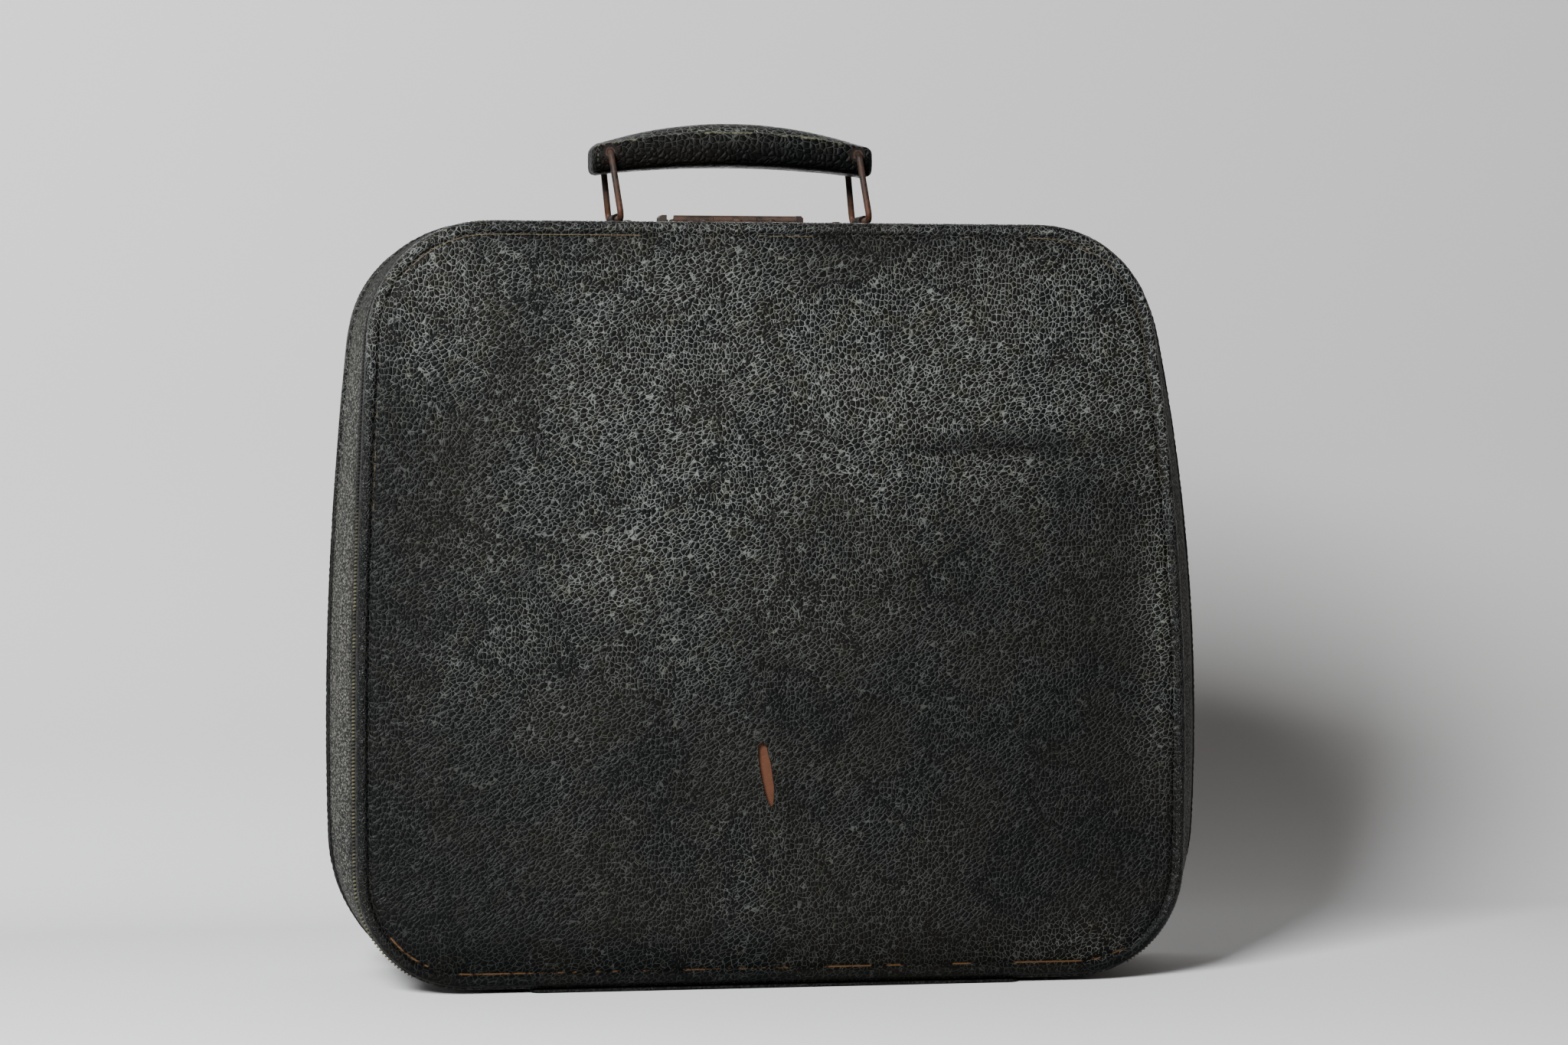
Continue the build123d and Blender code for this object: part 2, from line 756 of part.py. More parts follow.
def foot(x, z):
    cone = Cone(foot_radius, foot_top_radius, foot_height + bead_over_cover)
    body = Pos(x, (base_cover_end + back + foot_height) / 2, z) * Rot(-90, 0, 0) * cone
    body = fillet(body.edges().sort_by(Axis.Y)[-1], 1.2)
    recess = rod_y(x, back + foot_height - foot_rivet_height - 0.4, back + foot_height + 1, z, foot_rivet_radius)
    return body - recess - rod_y(x, base_cover_end, back + foot_height, z, rivet_radius)


def foot_rivet(x, z):
    seat = back + foot_height - foot_rivet_height - 0.4
    head = rod_y(x, seat, seat + foot_rivet_height, z, foot_rivet_radius - 0.1)
    return head + rod_y(x, base_inner - lining, seat, z, rivet_radius)


def catch_shanks():
    places = corner_places(catch_x, catch_z, catch_z)[0::2]
    return joined([rod_y(x, base_inner - lining, base_inner + board * 0.75, z, catch_screw_radius) for x, z in places])


def make_feet():
    places = corner_places(foot_x, foot_low, foot_high)
    save("base_feet", apart([foot(x, z) for x, z in places]))
    save("foot_rivets", apart([foot_rivet(x, z) for x, z in places]))


def pad(x, z):
    face = base_inner - lining
    body = rod_y(x, face - pad_height, face, z, pad_radius)
    return fillet(body.edges().sort_by(Axis.Y)[0], 1.5)


def make_pads():
    save("rest_pads", apart([pad(x, z) for x, z in corner_places(pad_x, pad_low, pad_high)]))


def catch_lever(side):
    face = base_inner - lining - catch_post_height - catch_gap
    shape = Rot(90, 0, 0) * SlotOverall(catch_length, catch_width)
    plate = extrude(shape, amount=catch_thickness, dir=(0, -1, 0))
    bore = rod_y(0, -10, 10, 0, catch_screw_radius + catch_bore_clearance)
    plate = Pos(-side * (catch_length - catch_width) / 2, 0, 0) * plate - bore
    tip_x = -side * (catch_length - catch_width)
    grip_pad = rod_y(tip_x, 0, catch_pad, 0, catch_width / 2 - 1)
    return Pos(side * catch_x, face, catch_z) * (plate + grip_pad)


def catch_post(side):
    face = base_inner - lining
    post = rod_y(side * catch_x, face - catch_post_height, face, catch_z, catch_post_radius)
    return post - rod_y(side * catch_x, face - catch_post_height, face, catch_z, catch_screw_radius)


def catch_screw(side):
    face = base_inner - lining
    seat = face - catch_post_height - 2 * catch_gap - catch_thickness
    head = rod_y(side * catch_x, seat - catch_screw_head_height, seat, catch_z, catch_screw_head_radius)
    head = fillet(head.edges().sort_by(Axis.Y)[0], 0.8)
    slot = block(-5, 5, -0.4, 0.4, -0.4, 0.4)
    slot = Pos(side * catch_x, seat - catch_screw_head_height, catch_z) * slot
    shank = rod_y(side * catch_x, seat, base_inner + board * 0.75, catch_z, catch_screw_radius)
    return head - slot + shank


def make_catches():
    for side, name in ((-1, "left"), (1, "right")):
        save("catch_" + name, catch_lever(side))
    save("catch_posts", apart([catch_post(side) for side in (-1, 1)]))
    save("catch_screws", apart([catch_screw(side) for side in (-1, 1)]))


make_lid()
make_base()
make_strips()
make_hinge()
make_handle()
make_ears()
make_lock()
make_hasp()
make_feet()
make_pads()
make_catches()
print("hinge axis y", seam, "z", hinge_height)
print("hasp axis y", round(hasp_axis_y, 3), "z", round(hasp_axis_z, 3))
print("loop pivots x", round(ear_x(-1), 3), round(ear_x(1), 3), "y", round(handle_y, 3), "z", round(pivot_z, 3))
print("grip pivot x", round(grip_x - loop_spacing / 2, 3), "z", round(grip_z, 3))
print("catch pivots x", catch_x, "z", catch_z, "y", round(base_inner - lining - catch_post_height, 3))
print("inside from y", round(lid_inner + lining, 3), "to", round(base_inner - lining, 3))
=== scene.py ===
# %% [markdown]
# # A worn leather typewriter case
# The case is a flared box in two halves. A lid with a flat grained panel closes against a deeper base.
# A leather grip hangs on two rusty wire loops on top, beside a hasp with sliding catches.
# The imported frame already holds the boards, hinge, lock and handle at their real size. Everything here
# is the finish: leather skins over the boards, cloth inside, rust on the steel, a studio and a camera.

# %% Load the frame
import json
import math

import bmesh
import bpy
from mathutils import Matrix, Vector, noise

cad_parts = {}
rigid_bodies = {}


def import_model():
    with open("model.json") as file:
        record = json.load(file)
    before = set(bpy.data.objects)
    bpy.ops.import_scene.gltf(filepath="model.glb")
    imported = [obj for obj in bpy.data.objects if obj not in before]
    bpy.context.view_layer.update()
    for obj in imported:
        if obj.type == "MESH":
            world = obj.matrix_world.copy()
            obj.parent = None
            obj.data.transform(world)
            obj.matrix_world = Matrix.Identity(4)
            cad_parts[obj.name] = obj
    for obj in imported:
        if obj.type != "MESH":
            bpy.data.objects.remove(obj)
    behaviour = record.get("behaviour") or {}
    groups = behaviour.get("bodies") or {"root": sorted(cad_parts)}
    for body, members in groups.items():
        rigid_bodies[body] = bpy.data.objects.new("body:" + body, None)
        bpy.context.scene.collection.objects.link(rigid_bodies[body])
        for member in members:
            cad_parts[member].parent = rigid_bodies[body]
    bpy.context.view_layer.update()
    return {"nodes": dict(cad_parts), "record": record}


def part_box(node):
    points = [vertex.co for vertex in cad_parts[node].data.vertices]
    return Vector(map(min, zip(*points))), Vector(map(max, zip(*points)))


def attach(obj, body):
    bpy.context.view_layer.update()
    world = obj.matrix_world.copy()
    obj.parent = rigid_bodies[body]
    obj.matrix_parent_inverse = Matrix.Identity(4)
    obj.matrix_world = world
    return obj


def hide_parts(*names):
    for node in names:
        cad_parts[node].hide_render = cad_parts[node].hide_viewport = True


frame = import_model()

print("frame loaded with", len(frame["nodes"]), "nodes")

# %% [markdown]
# ## Places taken from the frame
# Blender works in metres, so sizes that are small here are written in millimetres and turned into metres
# by one named factor. The skins have to seat on the boards, so their depths are read from the frame's own
# nodes. A copied number would go stale as soon as a board moved.

# %% Named places
mm = 0.001
lid_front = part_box("lid_bead")[0].y
lid_bead_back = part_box("lid_bead")[1].y
lid_board_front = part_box("lid_panel")[0].y
lid_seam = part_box("lid_wall_cover")[1].y
base_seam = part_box("base_wall_cover")[0].y
base_bead_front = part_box("base_bead")[0].y
base_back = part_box("base_bead")[1].y
base_board_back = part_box("base_panel")[1].y
wall_skin_to_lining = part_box("lid_wall_lining")[0].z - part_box("lid_wall_cover")[0].z
lining_low, lining_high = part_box("base_panel_lining")
cloth = lining_high.y - lining_low.y
print("lid from", round(lid_front, 4), "to", round(lid_seam, 4), "base to", round(base_back, 4))

# %% [markdown]
# ## Helpers for skins
# Every skin follows the outline of a board or a wall. Tracing that outline by hand would drift from the
# frame, so a copy of a node is cut by a plane and the outer loop of the cut becomes a list of points. The
# points are spaced evenly and relaxed a little, because arcs in the frame are made of short straight runs.

# %% Cut an outline out of a node
def section_loop(node, y):
    """Outermost closed loop where the plane at y cuts a node."""
    bm = bmesh.new()
    bm.from_mesh(frame["nodes"][node].data)
    bmesh.ops.remove_doubles(bm, verts=bm.verts, dist=1e-6)
    geometry = bm.verts[:] + bm.edges[:] + bm.faces[:]
    cut = bmesh.ops.bisect_plane(bm, geom=geometry, plane_co=(0, y, 0), plane_no=(0, 1, 0))
    edges = {g for g in cut["geom_cut"] if isinstance(g, bmesh.types.BMEdge)}
    best = []
    while edges:
        edge = edges.pop()
        loop = [edge.verts[0], edge.verts[1]]
        while True:
            step = next((e for e in loop[-1].link_edges if e in edges), None)
            if step is None:
                break
            edges.discard(step)
            loop.append(step.other_vert(loop[-1]))
        reach = max(v.co.x for v in loop)
        if not best or reach > max(p.x for p in best):
            best = [v.co.copy() for v in loop]
    bm.free()
    return best


def spaced_loop(points, count, relax=12):
    """The same closed loop with evenly spaced points, from the middle of its top, clockwise in front view."""
    points = [Vector((p.x, p.z)) for p in points]
    if (points[0] - points[-1]).length < 1e-7:
        points.pop()
    area = sum(a.x * b.y - b.x * a.y for a, b in zip(points, points[1:] + points[:1]))
    if area > 0:
        points.reverse()
    middle = sum(p.y for p in points) / len(points)
    for i, (a, b) in enumerate(zip(points, points[1:] + points[:1])):
        if a.x <= 0 < b.x and a.y > middle:
            start = a.lerp(b, -a.x / (b.x - a.x))
            points = [start] + points[i + 1:] + points[:i + 1]
            break
    ends = points[1:] + points[:1]
    total = sum((b - a).length for a, b in zip(points, ends))
    marks = []
    travelled = 0.0
    for a, b in zip(points, ends):
        length = (b - a).length
        while len(marks) < count and len(marks) * total / count <= travelled + length:
            share = (len(marks) * total / count - travelled) / max(length, 1e-9)
            marks.append(a.lerp(b, share))
        travelled += length
    for _ in range(relax):
        marks = [(marks[i - 1] + marks[i] * 2 + marks[(i + 1) % count]) / 4 for i in range(count)]
    return marks


def outward(loop):
    """Unit vectors that point out of a clockwise loop."""
    count = len(loop)
    result = []
    for i in range(count):
        along = (loop[(i + 1) % count] - loop[i - 1]).normalized()
        result.append(Vector((-along.y, along.x)))
    return result


def drawn_in(loop, inset):
    """A loop moved inwards by inset, or outwards where inset is negative."""
    return [p - n * inset for p, n in zip(loop, outward(loop))]


def spot_at(p, y):
    """The point of an outline put at a depth."""
    return Vector((p.x, y, p.y))


def at_depth(loop, y):
    return [spot_at(p, y) for p in loop]


def held(value):
    """A number held between 0 and 1."""
    return min(max(value, 0.0), 1.0)


columns = 900
panel_loop = spaced_loop(section_loop("lid_bead", lid_bead_back - 1.5 * mm), columns)
far_loop = spaced_loop(section_loop("base_bead", base_bead_front + 1.5 * mm), columns)
panel_half_width = max(p.x for p in panel_loop)
print("half width of the panel is", round(panel_half_width, 4), "m")

# %% [markdown]
# The walls flare from each panel to the seam, in straight runs between a few depths. The linings have the
# same outline, further in and with no cut-outs for the hinge, so they are the cleanest guide to the walls.

# %% Outlines of the walls
def wall_guide(node, depths):
    """Outlines of the outside of a wall at a few depths, as (depth, loop) pairs."""
    loops = [(y * mm, spaced_loop(section_loop(node, y * mm), columns)) for y in depths]
    return [(y, drawn_in(loop, -wall_skin_to_lining)) for y, loop in loops]


def loop_at(guide, y):
    """Outline at any depth: straight between its neighbours, and straight on past the ends."""
    first = max((i for i in range(len(guide) - 1) if guide[i][0] <= y), default=0)
    (y0, a), (y1, b) = guide[first], guide[first + 1]
    share = (y - y0) / (y1 - y0)
    return [p + (q - p) * share for p, q in zip(a, b)]


lid_guide = wall_guide("lid_wall_lining", (-43.3, -36.05, -27.2))
base_guide = wall_guide("base_wall_lining", (-26.8, -0.25, 23.2, 38.3))
print("half width at the seam is", round(max(p.x for p in lid_guide[-1][1]), 4), "m")

# %% [markdown]
# Skins are built by extruding a loop of edges row by row. Each vertex carries its column number in a custom
# layer, which an extrusion copies to the new vertices, so a new row is put in place by looking up each
# column. A second layer, how far in from the outline a row lies in millimetres, is kept for the materials.

# %% Rows of a skin
def first_row(bm, places, inset):
    column = bm.verts.layers.int.new("column")
    depth = bm.verts.layers.float.new("inset")
    verts = [bm.verts.new(p) for p in places]
    for i, vert in enumerate(verts):
        vert[column] = i
        vert[depth] = inset
    return [bm.edges.new((verts[i - 1], verts[i])) for i in range(len(verts))]


def next_row(bm, row, places, inset):
    """Extrudes a row of edges and moves the new row to its places."""
    column = bm.verts.layers.int["column"]
    depth = bm.verts.layers.float["inset"]
    made = bmesh.ops.extrude_edge_only(bm, edges=row)["geom"]
    fresh = {g for g in made if isinstance(g, bmesh.types.BMVert)}
    for vert in fresh:
        vert.co = places[vert[column]]
        vert[depth] = inset
    edges = [g for g in made if isinstance(g, bmesh.types.BMEdge)]
    return [e for e in edges if e.verts[0] in fresh and e.verts[1] in fresh]


def as_object(bm, name, smooth=True):
    """Merges doubles, turns the faces outwards and makes the object."""
    bmesh.ops.remove_doubles(bm, verts=bm.verts, dist=1e-7)
    bmesh.ops.recalc_face_normals(bm, faces=bm.faces)
    for face in bm.faces:
        face.smooth = smooth
    mesh = bpy.data.meshes.new(name)
    bm.to_mesh(mesh)
    bm.free()
    piece = bpy.data.objects.new(name, mesh)
    bpy.context.scene.collection.objects.link(piece)
    return piece


def through_rows(rows, joined):
    """A mesh through rows of (places, inset); joined closes the last row to the first."""
    bm = bmesh.new()
    row = first_row(bm, *rows[0])
    for places, inset in rows[1:]:
        row = next_row(bm, row, places, inset)
    if joined:
        next_row(bm, row, *rows[0])
    return bm


def skin(name, rows, joined):
    return as_object(through_rows(rows, joined), name)


def paint(piece, name, amount):
    """Stores one number for each vertex: the same for all, or worked out from its place."""
    if name in piece.data.attributes:
        piece.data.attributes.remove(piece.data.attributes[name])
    layer = piece.data.attributes.new(name, "FLOAT", "POINT")
    values = [amount(v.co) if callable(amount) else amount for v in piece.data.vertices]
    layer.data.foreach_set("value", values)


def finish_piece(piece, body, slot, material, nodes=(), **amounts):
    """Puts a piece on its body, paints and dresses it, and hides what it stands for."""
    for name, amount in amounts.items():
        paint(piece, name, amount)
    piece.data.materials.clear()
    piece.data.materials.append(material)
    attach(piece, body)
    if nodes:
        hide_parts(*nodes)
    print(piece.name, len(piece.data.polygons), "faces on", body)
    return piece


def bell(value, width):
    """1 in the middle, falling smoothly to nothing a few widths away."""
    return math.exp(-(value / width) ** 2)


def lumps(place, size, seed=0.0):
    """Smooth random lumps of about the given size, from -1 to 1."""
    return noise.noise(place / size + Vector((seed, seed * 0.7, -seed)))


def pebble(place, size):
    """0 in the valley between two pebbles of the grain, 1 on a pebble's crown."""
    near = noise.voronoi(place / size)[0]
    return min((near[1] - near[0]) / 0.5, 1.0)

# %% [markdown]
# ## Node helpers
# Materials are built from nodes in code. A few short functions keep each material readable: one adds a node
# and fills its inputs, one maps a value between two limits, one mixes two colours.

# %% Helpers for materials
class Finish:
    """A material under construction."""

    def __init__(self, name, roughness=0.6, metallic=0.0, specular=0.5):
        self.material = bpy.data.materials.new(name)
        self.material.use_nodes = True
        self.tree = self.material.node_tree
        self.shader = self.tree.nodes["Principled BSDF"]
        self.shader.inputs["Roughness"].default_value = roughness
        self.shader.inputs["Metallic"].default_value = metallic
        self.shader.inputs["Specular IOR Level"].default_value = specular
        self.place = self.node("ShaderNodeTexCoord").outputs["Object"]

    def node(self, kind, inputs=None, **settings):
        made = self.tree.nodes.new(kind)
        for name, value in settings.items():
            setattr(made, name, value)
        for name, value in (inputs or {}).items():
            self.plug(value, made.inputs[name])
        return made

    def plug(self, value, socket):
        if isinstance(value, bpy.types.NodeSocket):
            self.tree.links.new(value, socket)
        else:
            socket.default_value = value

    def math(self, operation, a, b=0.0, clamp=False):
        return self.node("ShaderNodeMath", {0: a, 1: b}, operation=operation, use_clamp=clamp).outputs[0]

    def times(self, a, b):
        return self.math("MULTIPLY", a, b)

    def plus(self, a, b):
        return self.math("ADD", a, b)

    def minus(self, a, b):
        return self.math("SUBTRACT", a, b)

    def close_to(self, distance, reach):
        """1 where a distance is nothing, falling evenly to 0 at the reach."""
        return self.math("SUBTRACT", 1.0, self.math("DIVIDE", distance, reach), clamp=True)

    def axes(self):
        """The place in object coordinates, as three numbers."""
        return self.node("ShaderNodeSeparateXYZ", {0: self.place}).outputs

    def ramp(self, value, low, high, to_low=0.0, to_high=1.0, smooth=True):
        """Maps value from low..high to to_low..to_high, held at both ends."""
        kind = "SMOOTHSTEP" if smooth else "LINEAR"
        inputs = {"Value": value, "From Min": low, "From Max": high, "To Min": to_low, "To Max": to_high}
        return self.node("ShaderNodeMapRange", inputs, interpolation_type=kind).outputs["Result"]

    def mix(self, share, a, b):
        made = self.node("ShaderNodeMix", data_type="RGBA")
        self.plug(share, made.inputs["Factor"])
        self.plug(a, made.inputs[6])
        self.plug(b, made.inputs[7])
        return made.outputs[2]

    def noise(self, scale, detail=4.0, roughness=0.5, place=None):
        inputs = {"Vector": place or self.place, "Scale": scale, "Detail": detail, "Roughness": roughness}
        return self.node("ShaderNodeTexNoise", inputs)

    def patches(self, scale, detail=3.0, roughness=0.5, place=None):
        return self.noise(scale, detail, roughness, place).outputs["Fac"]

    def cells(self, scale, place=None, randomness=0.85):
        """Distance to the nearest edge between cells."""
        inputs = {"Vector": place or self.place, "Scale": scale, "Randomness": randomness}
        return self.node("ShaderNodeTexVoronoi", inputs, feature="DISTANCE_TO_EDGE").outputs["Distance"]

    def warped(self, scale, amount, stretch=(1.0, 1.0, 1.0), turn=0.0):
        """Object coordinates pushed about by a noise; the pattern is stretched, then turned in the panel."""
        swirl = self.noise(scale, 2.0).outputs["Color"]
        centred = self.node("ShaderNodeVectorMath", {0: swirl, 1: (0.5, 0.5, 0.5)}, operation="SUBTRACT")
        far = {0: centred.outputs[0], "Scale": amount}
        pushed = self.node("ShaderNodeVectorMath", far, operation="SCALE")
        moved = self.node("ShaderNodeVectorMath", {0: self.place, 1: pushed.outputs[0]}, operation="ADD")
        inputs = {"Vector": moved.outputs[0], "Rotation": (0.0, turn, 0.0), "Scale": stretch}
        return self.node("ShaderNodeMapping", inputs, vector_type="TEXTURE").outputs[0]

    def attribute(self, name):
        return self.node("ShaderNodeAttribute", attribute_name=name).outputs["Fac"]

    def relief(self, height, strength, distance):
        inputs = {"Height": height, "Strength": strength, "Distance": distance}
        return self.node("ShaderNodeBump", inputs).outputs["Normal"]

    def done(self, colour=None, roughness=None, normal=None):
        for value, name in ((colour, "Base Color"), (roughness, "Roughness"), (normal, "Normal")):
            if value is not None:
                self.plug(value, self.shader.inputs[name])
        return self.material


def grey(r, g, b):
    """A colour given as it looks on screen, 0 to 255, turned to the linear light that nodes work in."""
    channels = []
    for value in (r, g, b):
        share = value / 255
        channels.append(share / 12.92 if share <= 0.04045 else ((share + 0.055) / 1.055) ** 2.4)
    return (*channels, 1.0)


print("a screen grey of 128 is", round(grey(128, 128, 128)[0], 3), "in linear light")

# %% [markdown]
# ## Pebbled leather
# Old case leather is embossed with pebbles about two millimetres across. Their crowns are polished black,
# and the valleys hold pale dust. A cell texture gives both from one number, the distance to the nearest
# cell edge: it lifts the bump, and where it is small it lays down dust. How much dust each region has kept
# is painted on the mesh as an attribute, because hands and cloths have wiped the rest away. Two more
# attributes say where the edge of the panel is worn through, and where rust has run into the leather.

# %% Pebbled leather
crease_middle = Vector((78 * mm, 207.2 * mm))
crease_slope = 0.02
panel_pebble = 1.72 * mm
grip_pebble = 2.4 * mm
fine_pebble = 1.1 * mm
pebble_reach = 0.5
grain_turn = math.radians(-32)
worn_line_inset = 5.35
leather_black = grey(5, 6, 6)
leather_brown = grey(11, 10, 8)
dust_pale = grey(146, 151, 146)
dust_olive = grey(126, 126, 112)
worn_tan = grey(86, 75, 55)
worn_olive = grey(92, 92, 74)
worn_rust = grey(92, 66, 42)
stain_brown = grey(70, 42, 30)


def dome(finish, distance):
    """A rounded pebble: 0 at the edge of a cell, 1 in its middle, steepest at the edge."""
    away = finish.close_to(distance, pebble_reach)
    return finish.minus(1.0, finish.times(away, away))


def two_grains(finish, size):
    """Cells that stand upright in some regions and run up to the right in others, as leather stretches."""
    upright = finish.cells(1 / size, finish.warped(230, 1.7 * mm, (0.92, 1.0, 1.2)))
    slanted = finish.cells(1 / size, finish.warped(200, 2.0 * mm, (1.4, 1.0, 0.86), grain_turn))
    share = finish.ramp(finish.patches(30, 1.0), 0.5, 0.56)
    part = finish.times(finish.minus(upright, slanted), share)
    return finish.plus(slanted, part)


def crease_line_and_shade(finish):
    """1 along the bottom of the crease on the lid's right half, with a faint tail to its left; it deepens the
    bump there and darkens the colour as painted shade.
    """
    x, y, z = finish.axes()
    along = finish.minus(x, crease_middle.x)
    middle = finish.plus(finish.times(along, crease_slope), crease_middle.y)
    wander = finish.times(finish.minus(finish.patches(90, 2.0), 0.5), 5 * mm)
    off = finish.minus(finish.minus(z, middle), wander)
    line = finish.close_to(finish.math("ABSOLUTE", off), 0.9 * mm)
    left = finish.ramp(along, -98 * mm, -28 * mm, 0.0, 0.3)
    left = finish.plus(left, finish.ramp(along, -34 * mm, -20 * mm, 0.0, 0.7))
    right = finish.ramp(along, 28 * mm, 40 * mm, 1.0, 0.0)
    reach = finish.times(finish.times(left, right), finish.math("LESS_THAN", y, lid_seam))
    return finish.times(line, reach)


def kept_dust_and_glints(leather, middling, roll):
    """The dust that a place keeps: less on the low part of the roll, where hands wipe it, and more on its
    upper part, where the extra pale specks are painted highlights.
    """
    kept = leather.times(leather.attribute("dust"), leather.ramp(middling, 0.3, 0.68, 0.82, 1.14))
    # on the upper roll this factor turns negative and adds pale lines: painted glints
    wiped_and_glints = leather.times(roll, leather.ramp(leather.axes()["Z"], 150 * mm, 230 * mm, 0.7, -0.6))
    return leather.times(kept, leather.minus(1.0, wiped_and_glints))


def dusty_valleys(leather, kept, cell, fine_cell, broken, least):
    """Share of dust: high in the valleys of the grain, broken up, with a thin film over all."""
    valley = leather.close_to(cell, leather.ramp(kept, 0.0, 0.4, 0.068, 0.078))
    valley = leather.times(leather.ramp(valley, 0.0, 0.75), leather.ramp(broken, 0.32, 0.52, 0.6, 1.0))
    fine_valley = leather.times(leather.close_to(fine_cell, 0.12), leather.ramp(broken, 0.54, 0.66, 0.0, 0.4))
    strength = leather.ramp(kept, 0.0, 0.34, least, 0.41)
    deepest = leather.math("MAXIMUM", valley, fine_valley)
    dusty = leather.math("MULTIPLY", deepest, strength, clamp=True)
    return leather.math("ADD", dusty, leather.times(kept, 0.01), clamp=True)


def worn_line(leather, inset, rust, broken):
    """Share of the frayed line where the edge of the leather has worn through."""
    worn = leather.attribute("worn")
    away = leather.math("ABSOLUTE", leather.minus(inset, worn_line_inset))
    line = leather.close_to(away, leather.ramp(rust, 0.0, 1.0, 0.2, 0.45))
    frayed = leather.plus(worn, leather.times(leather.minus(broken, 0.5), 2.2))
    line = leather.times(leather.ramp(line, 0.0, 0.8), leather.ramp(frayed, 0.35, 0.9))
    return leather.times(line, leather.ramp(worn, 0.0, 0.1))


def pebbled_leather(name, size, lip, slanted):
    """The leather of the panels, with slanted grain, or of the grip; lip is the colour of its worn line."""
    leather = Finish(name)
    rust, inset, rubbed = [leather.attribute(layer) for layer in ("rust", "inset", "rubbed")]
    roll = leather.ramp(inset, 3.4, 4.6, 1.0, 0.0)
    cell = two_grains(leather, size) if slanted else leather.cells(1 / size, leather.warped(260, 1.2 * mm))
    fine_cell = leather.cells(1 / fine_pebble, leather.warped(500, 0.6 * mm))
    broad = leather.patches(24, 3.0, 0.55)
    middling = leather.patches(130, 3.0, 0.6)
    broken = leather.patches(420, 2.0, 0.6)

    kept = kept_dust_and_glints(leather, middling, roll)
    dusty = dusty_valleys(leather, kept, cell, fine_cell, broken, 0.04 if slanted else 0.0)
    body = leather.mix(leather.ramp(broad, 0.38, 0.66), leather_black, leather_brown)
    pale = leather.mix(leather.ramp(middling, 0.46, 0.74), dust_pale, dust_olive)
    colour = leather.mix(dusty, body, pale)
    line = worn_line(leather, inset, rust, broken)
    colour = leather.mix(line, colour, leather.mix(rust, lip, worn_rust))
    stain = leather.times(leather.ramp(leather.attribute("stain"), 0.15, 1.0), 0.35)
    stain = leather.times(stain, leather.ramp(broken, 0.3, 0.62, 0.3, 1.0))
    colour = leather.mix(stain, colour, stain_brown)
    crease = crease_line_and_shade(leather)
    # painted shade along the crease: the colour goes towards black there
    colour = leather.mix(leather.times(crease, 0.5), colour, leather_black)

    fine_height = leather.times(dome(leather, fine_cell), leather.ramp(roll, 0.0, 1.0, 0.14, 0.6))
    height = leather.plus(dome(leather, cell), fine_height)
    height = leather.minus(height, leather.times(crease, 1.5))
    height = leather.times(height, leather.ramp(rubbed, 0.0, 1.0, 1.0, 0.15))
    height = leather.plus(height, leather.times(leather.patches(2600, 2.0), 0.05))

    rough = leather.ramp(dusty, 0.0, 0.3, 0.44, 0.85)
    rough = leather.plus(rough, leather.ramp(middling, 0.3, 0.7, -0.04, 0.08))
    rough = leather.minus(rough, leather.times(roll, 0.1))
    rough = leather.plus(rough, leather.times(rubbed, 0.25))
    shine = 0.05
    if slanted:
        matt = leather.ramp(rubbed, 0.0, 1.0, 1.0, 0.3)
        shine = leather.times(leather.ramp(roll, 0.0, 1.0, 0.08, 0.14), matt)
    leather.plug(shine, leather.shader.inputs["Specular IOR Level"])
    return leather.done(colour, rough, leather.relief(height, 1.0, 0.3 * mm * size / panel_pebble))


print("pebbles of", round(panel_pebble / mm, 2), "mm, and of", round(grip_pebble / mm, 2), "mm on the grip")

# %% [markdown]
# ## Wall leather
# The leather of the walls is split thinner and has a fine even grain, greyed by years of handling. A finer
# noise and a cell texture are enough. An attribute paints shade on it along the bead and the seam, and over
# its top corners.

# %% Wall leather
wall_grain = 1.2 * mm


def wall_leather():
    leather = Finish("wall_leather", specular=0.1)
    cell = leather.cells(1 / wall_grain, leather.warped(420, 0.8 * mm))
    broad = leather.patches(26, 3.0)
    mottle = leather.patches(420, 3.0, 0.6)
    grain = leather.patches(1150, 3.0, 0.7)
    grime = leather.attribute("grime")
    body = leather.mix(leather.ramp(broad, 0.35, 0.65), grey(46, 47, 46), grey(57, 57, 54))
    body = leather.mix(leather.ramp(mottle, 0.36, 0.64, 0.35, 0.0), body, grey(34, 34, 33))
    colour = leather.mix(leather.ramp(grain, 0.38, 0.52, 0.85, 0.0), body, grey(20, 20, 20))
    colour = leather.mix(leather.ramp(grain, 0.5, 0.62, 0.0, 0.85), colour, grey(108, 107, 101))
    colour = leather.mix(leather.ramp(cell, 0.0, 0.12, 0.4, 0.0), colour, grey(28, 28, 27))
    # painted shade: the leather goes near black along the bead, the seam and the top corners
    colour = leather.mix(leather.times(grime, 0.95), colour, grey(9, 9, 9))
    height = leather.plus(dome(leather, cell), leather.times(grain, 1.6))
    rough = leather.ramp(mottle, 0.3, 0.7, 0.6, 0.85)
    return leather.done(colour, rough, leather.relief(height, 1.0, 0.2 * mm))


print("grain of", round(wall_grain / mm, 2), "mm on the walls")

# %% [markdown]
# ## Rusted steel
# The steel outside has rusted brown, with pits and yellow flecks. A broad noise and a fine one give them.
# The loops have fresh rust low down, and the eyelets have kept some black paint.

# %% Rusted steel
foot_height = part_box("lock_plate")[1].z


